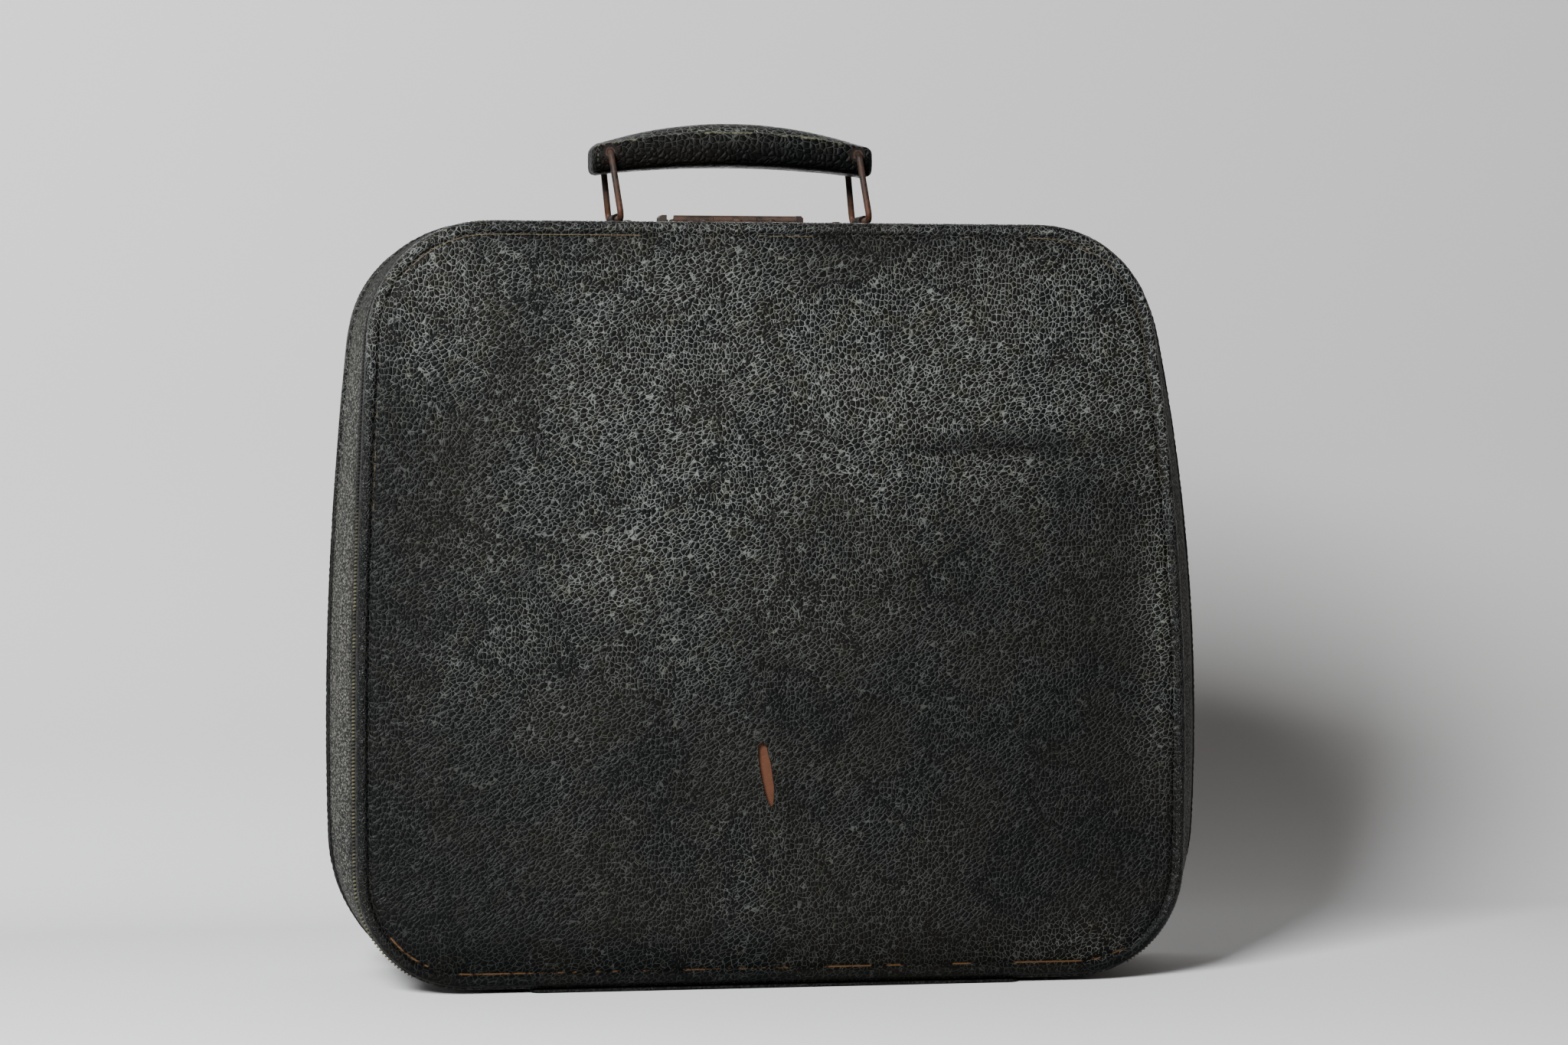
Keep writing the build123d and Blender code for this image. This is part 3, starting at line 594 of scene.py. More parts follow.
def rusty_steel(name, dark, light, foot=0.0, shine=0.3):
    """Rusted steel, dark to lighter brown, with pits and yellow flecks; foot is fresh rust low down."""
    steel = Finish(name, metallic=shine, specular=shine)
    broad = steel.patches(240, 5.0, 0.65)
    fine = steel.patches(1700, 3.0, 0.6)
    brown = steel.mix(steel.ramp(broad, 0.38, 0.62), dark, light)
    high = steel.axes()["Z"]
    fresh = steel.ramp(high, foot_height + 3 * mm, foot_height + 15 * mm, foot, 0.0)
    brown = steel.mix(fresh, brown, grey(104, 64, 42))
    colour = steel.mix(steel.ramp(fine, 0.58, 0.74, 0.0, 0.8), brown, grey(92, 72, 50))
    colour = steel.mix(steel.ramp(fine, 0.42, 0.3, 0.0, 0.7), colour, grey(20, 16, 15))
    rough = steel.ramp(broad, 0.3, 0.7, 0.5, 0.8)
    height = steel.plus(steel.times(broad, 0.6), steel.times(fine, 0.5))
    return steel.done(colour, rough, steel.relief(height, 0.7, 0.15 * mm))


def rubbed_eyelet():
    """Black paint on the eyelets, gone to rust in a ring round each hole."""
    eyelet = Finish("worn_eyelet", roughness=0.6, specular=0.15)
    x, y, z = eyelet.axes()
    low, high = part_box("grip_eyelets")
    radius = (high.z - low.z) / 2
    hole_z = (high.z + low.z) / 2
    flat = eyelet.node("ShaderNodeCombineXYZ", {0: x, 2: z}).outputs[0]
    near = []
    for hole_x in (low.x + radius, high.x - radius):
        pair = {0: flat, 1: (hole_x, 0.0, hole_z)}
        near.append(eyelet.node("ShaderNodeVectorMath", pair, operation="DISTANCE").outputs["Value"])
    away = eyelet.math("MINIMUM", *near)
    ragged_edge = eyelet.times(eyelet.patches(900, 3.0), 1.6 * mm)
    rusted = eyelet.ramp(eyelet.plus(away, ragged_edge), 2.3 * mm, 3.1 * mm, 0.85, 0.0)
    colour = eyelet.mix(rusted, grey(11, 11, 10), grey(62, 43, 34))
    return eyelet.done(colour, None, eyelet.relief(eyelet.patches(1500, 3.0), 0.5, 0.1 * mm))


print("rust starts", round(foot_height, 4), "m up")

# %% [markdown]
# ## Dull steel, board, cloth, rubber and thread
# The steel inside is only dull. The boards are a reddish ply with its grain running up, so its noise is drawn
# out along Z. The linings are a drab cloth, whose weave is made of three crossed waves. The feet are rubber.


# %% Dull steel and ply
def plain_steel():
    steel = Finish("aged_steel", metallic=0.9, specular=0.5)
    broad = steel.patches(300, 4.0, 0.6)
    fine = steel.patches(2400, 2.0)
    colour = steel.mix(steel.ramp(broad, 0.5, 0.72), grey(150, 147, 140), grey(112, 88, 70))
    return steel.done(colour, steel.ramp(broad, 0.3, 0.7, 0.32, 0.6), steel.relief(fine, 0.25, 0.05 * mm))


def board_ply():
    ply = Finish("case_board", specular=0.25)
    stretched = ply.warped(40, 2 * mm, (1.0, 1.0, 0.08))
    grain = ply.patches(900, 4.0, 0.6, stretched)
    broad = ply.patches(160, 2.0)
    body = ply.mix(ply.ramp(grain, 0.35, 0.65), grey(68, 38, 24), grey(86, 52, 33))
    colour = ply.mix(ply.ramp(broad, 0.4, 0.7, 0.0, 0.6), body, grey(48, 28, 21))
    return ply.done(colour, ply.ramp(grain, 0.3, 0.7, 0.65, 0.85), ply.relief(grain, 0.4, 0.12 * mm))


print("materials so far:", len(bpy.data.materials))


# %% Cloth, rubber and thread
thread_pitch = 0.9 * mm


def woven(finish, pitch):
    """Height of a plain weave with threads of the given pitch."""
    turns = 2 * math.pi / pitch
    waves = [finish.math("SINE", finish.times(axis, turns)) for axis in finish.axes()]
    return finish.times(finish.plus(waves[0], waves[1]), waves[2])


def lining_cloth():
    lining = Finish("lining_cloth", specular=0.15)
    weave = woven(lining, thread_pitch)
    broad = lining.patches(28, 4.0)
    spots = lining.patches(9, 2.0)
    body = lining.mix(lining.ramp(broad, 0.35, 0.68), grey(104, 96, 80), grey(84, 76, 62))
    body = lining.mix(lining.ramp(spots, 0.55, 0.7, 0.0, 0.5), body, grey(66, 56, 44))
    colour = lining.mix(lining.ramp(weave, -1.2, 1.2, 0.0, 0.5), body, grey(128, 120, 102))
    lining.shader.inputs["Sheen Weight"].default_value = 0.2
    return lining.done(colour, 0.92, lining.relief(weave, 0.5, 0.14 * mm))


def hard_rubber():
    rubber = Finish("hard_rubber", specular=0.4)
    broad = rubber.patches(180, 4.0)
    colour = rubber.mix(rubber.ramp(broad, 0.4, 0.7), grey(24, 24, 24), grey(56, 54, 50))
    return rubber.done(colour, rubber.ramp(broad, 0.3, 0.7, 0.6, 0.8), rubber.relief(broad, 0.3, 0.1 * mm))


def waxed_thread():
    thread = Finish("waxed_thread", specular=0.3)
    broad = thread.patches(140, 3.0)
    twist = thread.patches(3000, 1.0)
    high = thread.axes()["Z"]
    pale = thread.mix(thread.ramp(broad, 0.36, 0.56), grey(40, 39, 32), grey(78, 76, 58))
    # painted shade: the thread goes near black towards the top, like the walls' top corners
    worn = thread.mix(thread.ramp(high, 150 * mm, 205 * mm), pale, grey(14, 14, 13))
    return thread.done(worn, 0.75, thread.relief(twist, 0.5, 0.08 * mm))


print("the lining's threads are", round(thread_pitch / mm, 2), "mm apart")

# %% [markdown]
# ## The frame's own nodes
# Each node gets a finish by its slot in the record, and a few have one of their own. Nodes that a skin stands
# for are dressed too, and go out of sight when the skin is made.

# %% Dress the frame
pebbled = pebbled_leather("pebbled_leather", panel_pebble, worn_tan, slanted=True)
grip_leather = pebbled_leather("grip_leather", grip_pebble, worn_olive, slanted=False)
fine_leather = wall_leather()
wire_rust = rusty_steel("wire_rust", grey(28, 22, 20), grey(60, 45, 37), foot=0.38)
plate_rust = rusty_steel("plate_rust", grey(42, 32, 28), grey(70, 52, 43))
tab_rust = rusty_steel("tab_rust", grey(33, 29, 26), grey(54, 47, 41))
low_tab_rust = rusty_steel("low_tab_rust", grey(28, 21, 19), grey(50, 35, 28))
ear_rust = rusty_steel("ear_rust", grey(14, 12, 11), grey(30, 23, 20), shine=0.02)
worn_eyelet = rubbed_eyelet()
lining = lining_cloth()
thread = waxed_thread()
finishes = {
    "black_leather": pebbled,
    "wall_leather": fine_leather,
    "rusty_steel": plate_rust,
    "steel": plain_steel(),
    "plywood": board_ply(),
    "lining_cloth": lining,
    "black_rubber": hard_rubber(),
}
own_finishes = {
    "loop_left": wire_rust, "loop_right": wire_rust, "grip_eyelets": worn_eyelet,
    "ear_left": ear_rust, "ear_right": ear_rust, "ear_rivets": ear_rust,
    "slide_left": tab_rust, "slide_right": low_tab_rust,
}
for part in frame["record"]["subparts"]:
    mesh = frame["nodes"][part["node"]].data
    mesh.materials.clear()
    mesh.materials.append(own_finishes.get(part["node"], finishes[part["material_slot"]]))

# %% [markdown]
# ## The leather over the lid
# The lid's panel is one piece of pebbled leather, rolled over a cord at its edge. On the real case the
# panel and its rolled edge are one skin, so here they are one mesh too, from the wall to a worn slit low
# in the panel. Spreading the rows from the slit to the outline makes the hole without any cutting.

# %% The slit worn through the leather
slit_wide_z = 84.2 * mm
slit_up = 10.0 * mm
slit_down = 14.5 * mm
slit_half_width = 2.4 * mm
slit_bottom_x = -2.6 * mm
slit_lean = 0.155
ragged = 0.22 * mm
blunt_top = 0.55


def slit_place(angle):
    """A point of the slit's edge; angle 0 is its top, clockwise in front view."""
    rise = math.cos(angle)
    z = slit_wide_z + rise * (slit_up if rise > 0 else slit_down)
    middle = slit_bottom_x - slit_lean * (z - slit_wide_z + slit_down)
    fray = noise.noise(Vector((math.cos(angle), math.sin(angle), 0.3)) * 3.1) * ragged
    blunt = abs(math.sin(angle)) ** (blunt_top if rise > 0 else 1.0)
    return Vector((middle + math.copysign((slit_half_width + fray) * blunt, math.sin(angle)), z + fray))


def slit_loop(outline):
    """Points of the slit's edge that lie towards each point of an outline."""
    centre = Vector((slit_bottom_x - slit_lean * slit_down, slit_wide_z))
    return [slit_place(math.atan2((p - centre).x, (p - centre).y)) for p in outline]


print("the slit is", round((slit_up + slit_down) / mm, 1), "mm long")

# %% [markdown]
# The panel isn't flat. It carries soft waves, a crease on its right half where something pressed on it,
# and a strip along the right edge where the leather climbs to the rolled edge. Each is a small sum of
# smooth bumps, so the light rolls over them as it does over real leather.

# %% Relief of the lid's panel
wave_size = 75 * mm
wave_height = 0.28 * mm
dimple_size = 16 * mm
dimple_height = 0.06 * mm
crease_half_length = 44 * mm
crease_depth = 1.2 * mm
crease_width = 2.4 * mm
crease_lip = 5.5 * mm
climb_inset = 21 * mm
climb_width = 11 * mm
climb_depth = 0.75 * mm
climb_middle_z = 150 * mm
climb_reach = 95 * mm


def lid_relief(x, z, inset):
    """How far the skin stands out from its mean depth, in metres."""
    inside = held((inset - 6 * mm) / (18 * mm))
    spot = Vector((x, 0.0, z))
    swell = lumps(spot, wave_size) * wave_height + lumps(spot, dimple_size, 5.0) * dimple_height
    away = (x - crease_middle.x) / crease_half_length
    off = z - crease_middle.y - crease_slope * (x - crease_middle.x)
    dent = bell(off + crease_lip, crease_lip) * 0.45 - bell(off, crease_width)
    crease = bell(away, 0.8) * dent * crease_depth
    side = max(x, 0.0) / panel_half_width
    climb = bell(z - climb_middle_z, climb_reach) * side ** 6
    climb *= bell(inset - climb_inset, climb_width) * climb_depth
    return (swell + crease) * inside - climb


print("the crease is", round(crease_depth / mm, 1), "mm deep")

# %% [markdown]
# The rolled edge is a row of insets and depths, like a moulding: up the side, over the roll, down into the
# groove where the leather is pulled tight, and out onto the panel. The same list dresses the far side of
# the base, so it is written once, as depth behind the roll's highest line. On the roll the pebbles are real
# relief, pushed out from the middle of the cord under the leather, because they show against the light.

# %% Profile of the rolled edge
# inset from the outline and depth behind the roll's highest line, both in millimetres
roll_profile = [
    (0.35, 4.95), (0.12, 4.5), (0.0, 3.9), (0.0, 3.4), (0.0, 2.9), (0.06, 2.3), (0.18, 1.8), (0.4, 1.3),
    (0.75, 0.8), (1.15, 0.45), (1.6, 0.2), (2.1, 0.06), (2.6, 0.02), (3.1, 0.08), (3.55, 0.26), (3.95, 0.55),
    (4.3, 0.9), (4.6, 1.16), (4.85, 1.3), (5.1, 1.3), (5.35, 1.16), (5.6, 0.98), (5.9, 0.82), (6.4, 0.66),
    (7.2, 0.54), (8.2, 0.48), (9.0, 0.46),
]
roll_centre = Vector((2.5, 2.5))
roll_grain_size = 2.3 * mm
roll_grain_height = 0.2 * mm
field_start = roll_profile[-1][0] * mm
panel_sink = roll_profile[-1][1] * mm


def rubbed_smooth(place):
    """How far the grain is rubbed away: wholly along the bottom edge, and less with height."""
    return 1 - held((place.z - 7 * mm) / (22 * mm))


def front_rows(loop, face, facing):
    """Rows from the wall over the rolled edge; facing is -1 for the lid and 1 for the base."""
    rows = []
    normals = outward(loop)
    for inset, depth in roll_profile:
        push = (Vector((inset, depth)) - roll_centre).normalized()
        on_roll = held((4.4 - inset) / 0.8) * held((4.6 - depth) / 0.8)
        places = []
        for p, n in zip(loop, normals):
            place = Vector((p.x - n.x * inset * mm, face - facing * depth * mm, p.y - n.y * inset * mm))
            height = (pebble(place, roll_grain_size) - 0.6) * roll_grain_height * on_roll
            height *= 1 - 0.85 * rubbed_smooth(place)
            shift = push * height
            places.append(place + Vector((-n.x * shift.x, -facing * shift.y, -n.y * shift.x)))
        rows.append((places, inset))
    return rows


print("the roll has", len(roll_profile), "rows and ends", round(field_start / mm, 1), "mm in")

# %% [markdown]
# The rows of the panel start at the groove and end at the slit. They lie closer together near the slit,
# where the torn edge curls up a little, and the last rows turn down through the leather to the board.

# %% Lid leather
slit_lip = 0.3 * mm
lip_reach = 1.8 * mm
field_rows = 72
spread = 1.5
out_of_sight = 99.0


def lid_skin():
    """The lid's leather: a closed skin from the wall to the edges of the slit."""
    rows = front_rows(panel_loop, lid_front, -1)
    outline = drawn_in(panel_loop, field_start)
    hole = slit_loop(outline)
    for step in range(1, field_rows + 1):
        share = 1 - (1 - step / field_rows) ** spread
        places = []
        for p, q in zip(outline, hole):
            spot = p.lerp(q, share)
            stand = lid_relief(spot.x, spot.y, field_start + (spot - p).length)
            stand += bell((spot - q).length, lip_reach) * slit_lip
            places.append(spot_at(spot, lid_front + panel_sink - stand))
        rows.append((places, 9.0 + step))
    back = [(hole, lid_board_front - 0.35 * mm), (hole, lid_board_front)]
    for inset, y in ((7.5, lid_board_front), (6.0, lid_board_front), (6.0, lid_bead_back)):
        back.append((drawn_in(panel_loop, inset * mm), y))
    rows += [(at_depth(loop, y), out_of_sight) for loop, y in back]
    return skin("lid_leather", rows, joined=True)


# %% [markdown]
# Dust and wear are painted as attributes. Broad patches say how much dust a region keeps: most at the top,
# where it settles, and hardly any low on the right. One thin patch takes dust away along the crease, as
# painted shade. Short runs along the top and bottom say where the edge of the panel's leather has worn to a
# tan line, or has taken up rust.

# %% Dust and wear on the lid
# middle x and z, half width and half height in millimetres, and how much dust a patch adds
dust_and_shade_patches = [
    (45, 246, 95, 40, 0.5), (115, 249, 36, 36, 0.4), (-135, 254, 30, 34, 0.4), (-47, 231, 52, 50, 0.4),
    (54, 213, 44, 28, 0.3), (-31, 155, 84, 52, 0.26), (-108, 137, 50, 60, 0.16), (0, 47, 95, 40, 0.16),
    (152, 148, 11, 62, 0.4), (17, 269, 20, 20, -0.1), (-95, 252, 22, 30, -0.1), (128, 14, 36, 12, 0.22),
    # the patch at x 80, z 210 takes dust away along the crease: painted shade
    (90, 140, 60, 60, 0.08), (-90, 275, 70, 16, 0.2), (80, 210, 42, 7, -0.34),
    (125, 190, 40, 40, 0.07),
]
least_dust = 0.05
dust_share = 0.62
# from x to x in millimetres, and how far the edge is worn there
worn_at_top = [(-143, -52, 0.95), (-8, 13, 0.75), (40, 46, 0.6), (71, 78, 0.6), (98, 175, 0.95)]
worn_at_bottom = [
    (-149, -134, 0.7), (-123, -96, 0.8), (20, 37, 0.95), (42, 48, 0.9), (68, 76, 0.9), (93, 120, 1.0),
    (123, 128, 0.9), (132, 137, 0.9), (-96, 20, 0.45),
]


def lid_dust_and_shade(place):
    x = place.x / mm
    z = place.z / mm
    total = least_dust
    for middle_x, middle_z, half_x, half_z, amount in dust_and_shade_patches:
        total += amount * bell(math.hypot((x - middle_x) / half_x, (z - middle_z) / half_z), 1.0)
    total *= 1 + 0.3 * lumps(place, 34 * mm, 3.0) + 0.2 * lumps(place, 11 * mm, 8.0)
    return held(total * dust_share)


def edge_wear(place):
    x = place.x / mm
    z = place.z / mm
    runs = worn_at_top if z > 195 else worn_at_bottom if z < 45 else []
    amount = max((share for start, end, share in runs if start < x < end), default=0.05)
    if x < -120 and 180 < z < 250:
        amount = 0.4
    if x > 120 and (193 < z < 206 or 226 < z):
        amount = 0.9
    elif x > 120 and z > 195:
        amount = 0.2
    return amount


def rust_share(place):
    return 1 - held((place.z / mm - 20) / 60)


finish_piece(lid_skin(), "lid", "black_leather", pebbled, ["lid_bead", "lid_panel_cover"],
             dust=lid_dust_and_shade, worn=edge_wear, rust=rust_share, rubbed=rubbed_smooth)


# %% [markdown]
# ## The leather over the far side
# The base has the same rolled edge and a plain panel, with no slit. Its rows start as a single point in the
# middle and spread to the outline, go over the roll, and come back behind to a second point on the board.

# %% Base leather
far_rows = 40


def far_skin():
    over_roll = front_rows(far_loop, base_back, 1)
    outline = drawn_in(far_loop, field_start)
    middle = Vector((0.0, sum(p.y for p in far_loop) / len(far_loop)))
    rows = []
    for step in range(far_rows):
        share = step / far_rows
        places = []
        for p in outline:
            spot = middle.lerp(p, share)
            inset = field_start + (spot - p).length
            inside = held((inset - 6 * mm) / (18 * mm))
            stand = lumps(spot_at(spot, 9.0), wave_size) * wave_height * inside
            places.append(spot_at(spot, base_back - panel_sink + stand))
        rows.append((places, 9.0 + far_rows - step))
    rows += reversed(over_roll)
    hidden = drawn_in(far_loop, 6.0 * mm)
    closed = [middle] * columns
    for loop, y in ((hidden, base_bead_front), (hidden, base_board_back), (closed, base_board_back)):
        rows.append((at_depth(loop, y), out_of_sight))
    return skin("base_leather", rows, joined=False)


def far_dust(place):
    high = held((place.z / mm - 60) / 200)
    total = 0.08 + 0.26 * high
    total *= 1 + 0.6 * lumps(place, 60 * mm, 4.0) + 0.3 * lumps(place, 12 * mm, 6.0)
    return held(total)


def far_wear(place):
    return 0.35 + 0.5 * lumps(place, 45 * mm, 12.0)


finish_piece(far_skin(), "root", "black_leather", pebbled, ["base_bead", "base_panel_cover"],
             dust=far_dust, worn=far_wear, rust=rust_share, rubbed=rubbed_smooth)

# %% [markdown]
# ## The leather round the walls
# Each wall has its own band of thin leather, glued down from the rolled edge to the seam. It has faint lumps
# where glue and board show through, and its edges are turned under. The hinge lies in a channel across the
# bottom of both bands, so a box the size of that channel is cut out with a boolean that is applied at once.

# %% Wall bands
skin_thickness = 1.2 * mm
wall_lump = 0.12 * mm
hem = 0.3 * mm
channel_low = Vector((-132 * mm, lid_seam - 3.1 * mm, -1 * mm))
channel_high = Vector((132 * mm, lid_seam + 3.3 * mm, 5.2 * mm))


def wall_rows(guide, y0, y1, count):
    rows = []
    for step in range(count + 1):
        y = y0 + (y1 - y0) * step / count
        loop = loop_at(guide, y)
        turned = hem if step in (0, count) else 0.0
        places = []
        for p, n in zip(loop, outward(loop)):
            stand = lumps(spot_at(p, y), 14 * mm, 2.0) * wall_lump - turned
            places.append(spot_at(p + n * stand, y))
        rows.append((places, 0.0))
    bends = sorted((y for y, _ in guide[1:-1]), reverse=y1 > y0)
    for y in [y1] + bends + [y0]:
        rows.append((at_depth(drawn_in(loop_at(guide, y), skin_thickness), y), 0.0))
    return rows


def box_between(low, high):
    bm = bmesh.new()
    bmesh.ops.create_cube(bm, size=1.0)
    bmesh.ops.scale(bm, vec=high - low, verts=bm.verts)
    bmesh.ops.translate(bm, vec=(low + high) / 2, verts=bm.verts)
    return bm


def cut_away(piece, low, high):
    """Cuts a box out of a piece."""
    cutter = as_object(box_between(low, high), "cutter", smooth=False)
    cut = piece.modifiers.new("cut", "BOOLEAN")
    cut.operation = "DIFFERENCE"
    cut.solver = "MANIFOLD"
    cut.object = cutter
    settle(piece)
    bpy.data.objects.remove(cutter)


def settle(piece):
    """Applies the modifiers of a piece."""
    graph = bpy.context.evaluated_depsgraph_get()
    mesh = bpy.data.meshes.new_from_object(piece.evaluated_get(graph))
    piece.modifiers.clear()
    piece.data = mesh


def leaf_space(node):
    """The room that a leaf of the hinge takes in the leather, right through it."""
    low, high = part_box(node)
    return low - Vector((0.3, 0.3, 1.0)) * mm, Vector((high.x + 0.3 * mm, high.y + 0.3 * mm, 2.8 * mm))


def grime_near(edges):
    """A paint function: painted shade within two millimetres of the given depths, where the gaps are, and
    over the top corners.
    """
    def grime(place):
        corner = held((place.z - 240 * mm) / (44 * mm)) * 0.78
        return max(corner, max(bell(place.y - y, 1.8 * mm) for y in edges))
    return grime


lid_wall_start = lid_bead_back + 0.05 * mm
base_wall_end = base_bead_front - 0.05 * mm
for name, body, guide, y0, y1, count in (
    ("lid_wall_leather", "lid", lid_guide, lid_wall_start, lid_seam, 24),
    ("base_wall_leather", "root", base_guide, base_seam, base_wall_end, 30),
):
    band = skin(name, wall_rows(guide, y0, y1, count), joined=True)
    cut_away(band, channel_low, channel_high)
    cut_away(band, *leaf_space("hinge_lid_leaf" if body == "lid" else "hinge_base_leaf"))
    edges = (y0 + 1.4 * mm, y1) if body == "lid" else (y0, y1 - 1.4 * mm)
    node = "lid_wall_cover" if body == "lid" else "base_wall_cover"
    finish_piece(band, body, "wall_leather", fine_leather, [node], grime=grime_near(edges))

# %% [markdown]
# ## Welts along the seam
# Each half ends at the seam in a thin black welt, a folded strip of leather with the thread showing as small
# bumps. It is a thin tube made of rows round a small circle, so it follows the wall without any path. The
# tube stops short of the hinge at the bottom and of the lock on top.

# %% Welts
welt_radius = 0.95 * mm
welt_sink = 0.35 * mm
welt_sides = 8
welt_bump = 0.22 * mm
welt_bump_pitch = 2.3 * mm
hinge_clear_x = 134 * mm
hinge_clear_z = 7 * mm
lock_low, lock_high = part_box("lock_plate")
lock_gap = 1.0 * mm


def under_metal(place):
    """Where the hinge or the lock lies over the seam."""
    over_hinge = abs(place.x) < hinge_clear_x and place.z < hinge_clear_z
    over_lock = lock_low.x - lock_gap < place.x < lock_high.x + lock_gap and place.z > lock_low.z - 5 * mm
    return over_hinge or over_lock


def clear_metal(bm):
    """Drops the faces under the hinge and the lock, and closes the cut ends."""
    bmesh.ops.remove_doubles(bm, verts=bm.verts, dist=1e-7)
    drop = [f for f in bm.faces if under_metal(f.calc_center_median())]
    bmesh.ops.delete(bm, geom=drop, context="FACES")
    rims = [e for e in bm.edges if e.is_boundary]
    bmesh.ops.holes_fill(bm, edges=rims, sides=0)


def welt(name, guide, y):
    loop = drawn_in(loop_at(guide, y), welt_sink)
    normals = outward(loop)
    step = (loop[1] - loop[0]).length
    rows = []
    for side in range(welt_sides):
        angle = 2 * math.pi * side / welt_sides
        places = []
        for i, (p, n) in enumerate(zip(loop, normals)):
            swell = abs(math.sin(math.pi * i * step / welt_bump_pitch)) * welt_bump
            rough = lumps(spot_at(p, y), 1.6 * mm, 5.0) * 0.12 * mm
            reach = welt_radius + swell + rough - welt_bump
            places.append(spot_at(p + n * (reach * math.cos(angle)), y + reach * math.sin(angle)))
        rows.append((places, 0.0))
    bm = through_rows(rows, joined=True)
    clear_metal(bm)
    return as_object(bm, name)


for name, body, guide, y in (
    ("lid_welt", "lid", lid_guide, lid_seam - 1.2 * mm),
    ("base_welt", "root", base_guide, base_seam + 1.2 * mm),
):
    finish_piece(welt(name, guide, y), body, "black_leather", pebbled, rubbed=0.6, dust=0.12)

# %% [markdown]
# ## Stitches beside the rolled edge
# A close row of waxed stitches, worn to a pale rope, holds the wall's leather down behind each rolled edge.
# One stitch is a small box with bevelled edges, set down hundreds of times, so it has few faces. The same
# function makes the row on the base. No stitches are laid under the bottom, where the strips cover them.

# %% Stitches
stitch_pitch = 1.4 * mm
stitch_size = Vector((0.85, 2.5, 1.3)) * mm


def round_off(bm, edges, offset, segments):
    bmesh.ops.bevel(bm, geom=edges, offset=offset, offset_type="OFFSET", segments=segments,
                    affect="EDGES", profile=0.5, material=-1)


def stitch_row(name, guide, y):
    loop = loop_at(guide, y)
    normals = outward(loop)
    step = (loop[1] - loop[0]).length
    bm = bmesh.new()
    for k in range(int(columns * step / stitch_pitch)):
        i, share = divmod(k * stitch_pitch / step, 1.0)
        i = int(i)
        p = loop[i].lerp(loop[(i + 1) % columns], share)
        n = normals[i]
        if p.y < hinge_clear_z:
            continue
        up = spot_at(n, 0.0)
        along = Vector((n.y, 0, -n.x)).normalized()
        turn = Matrix((along, (0, 1, 0), up)).transposed().to_4x4()
        tilt = Matrix.Rotation(0.16 + 0.12 * lumps(spot_at(p, y), 3 * mm, 9.0), 4, up)
        place = Matrix.Translation(spot_at(p, y) + up * 0.05 * mm)
        size = Matrix.Diagonal((*stitch_size, 1.0))
        bmesh.ops.create_cube(bm, size=1.0, matrix=place @ tilt @ turn @ size)
    round_off(bm, bm.edges[:], 0.3 * mm, 1)
    return as_object(bm, name)


for name, body, guide, y in (
    ("lid_stitches", "lid", lid_guide, lid_bead_back + 1.3 * mm),
    ("base_stitches", "root", base_guide, base_bead_front - 1.3 * mm),
):
    finish_piece(stitch_row(name, guide, y), body, "wall_leather", thread)

# %% [markdown]
# ## The grip
# The grip is leather pulled round an arched core. Seen from the front it has a nearly flat side, and above a
# worn ridge a second face slopes back to the crown. Its section is a short list of points, given as shares
# of the half depth and as heights. The section is swept along the arch, and subdivision rounds it.

# %% Shape of the grip
grip_low, grip_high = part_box("grip_leather")
grip_middle = (grip_low + grip_high) / 2
grip_half_length = (grip_high.x - grip_low.x) / 2
grip_crown = grip_high.z
grip_sole_rise = 3.6 * mm
grip_crown_drop = 9.5 * mm
grip_half_depth = (grip_high.y - grip_low.y) / 2
grip_end_narrowing = 2.4 * mm
ridge_drop = 4.5 * mm
ridge_drop_at_end = 1.0 * mm
grip_stations = 34
end_seam = 0.962
# share of the grip's half length, and the scale of its section there
end_scale = [
    (0.925, 1.0), (0.945, 1.035), (0.958, 1.0), (0.974, 0.95), (0.988, 0.84), (0.997, 0.66), (1.0, 0.45),
]


def grip_section(share):
    """Half of the section at a share of the half length, from the sole to the crown, as (y, z)."""
    square = share * share
    deep = grip_half_depth - grip_end_narrowing * square
    sole = grip_low.z + grip_sole_rise * (1 - square)
    crown = grip_crown - grip_crown_drop * square
    ridge = crown - ridge_drop_at_end - (ridge_drop - ridge_drop_at_end) * (1 - square)
    side = ridge - sole
    return [
        (0.0, sole), (0.4 * deep, sole), (0.74 * deep, sole + 0.3 * mm), (0.9 * deep, sole + 1.4 * mm),
        (0.975 * deep, sole + 3.4 * mm), (1.0 * deep, sole + 0.5 * side), (1.0 * deep, sole + 0.76 * side),
        (0.98 * deep, ridge - 0.7 * mm), (0.955 * deep, ridge + 0.05 * mm), (0.91 * deep, ridge + 0.35 * mm),
        (0.84 * deep, ridge + 0.5 * mm), (0.62 * deep, ridge + 0.55 * (crown - ridge)),
        (0.32 * deep, ridge + 0.88 * (crown - ridge)), (0.0, crown),
    ]


def grip_ring(share, scale):
    half = grip_section(share)
    ring = half + [(-y, z) for y, z in reversed(half[1:-1])]
    middle = (half[0][1] + half[-1][1]) / 2
    x = grip_middle.x + share * grip_half_length
    return [Vector((x, grip_middle.y + y * scale, middle + (z - middle) * scale)) for y, z in ring]


def grip_skin():
    inner = end_scale[0][0]
    shares = [-inner + 2 * inner * i / grip_stations for i in range(1, grip_stations)]
    stops = [(-share, scale) for share, scale in reversed(end_scale)]
    stops += [(share, 1.0) for share in shares] + end_scale
    bm = bmesh.new()
    row = first_row(bm, grip_ring(*stops[0]), 20.0)
    ends = [row]
    for stop in stops[1:]:
        row = next_row(bm, row, grip_ring(*stop), 20.0)
    ends.append(row)
    for edges in ends:
        bmesh.ops.edgeloop_fill(bm, edges=edges)
    return as_object(bm, "grip_skin")


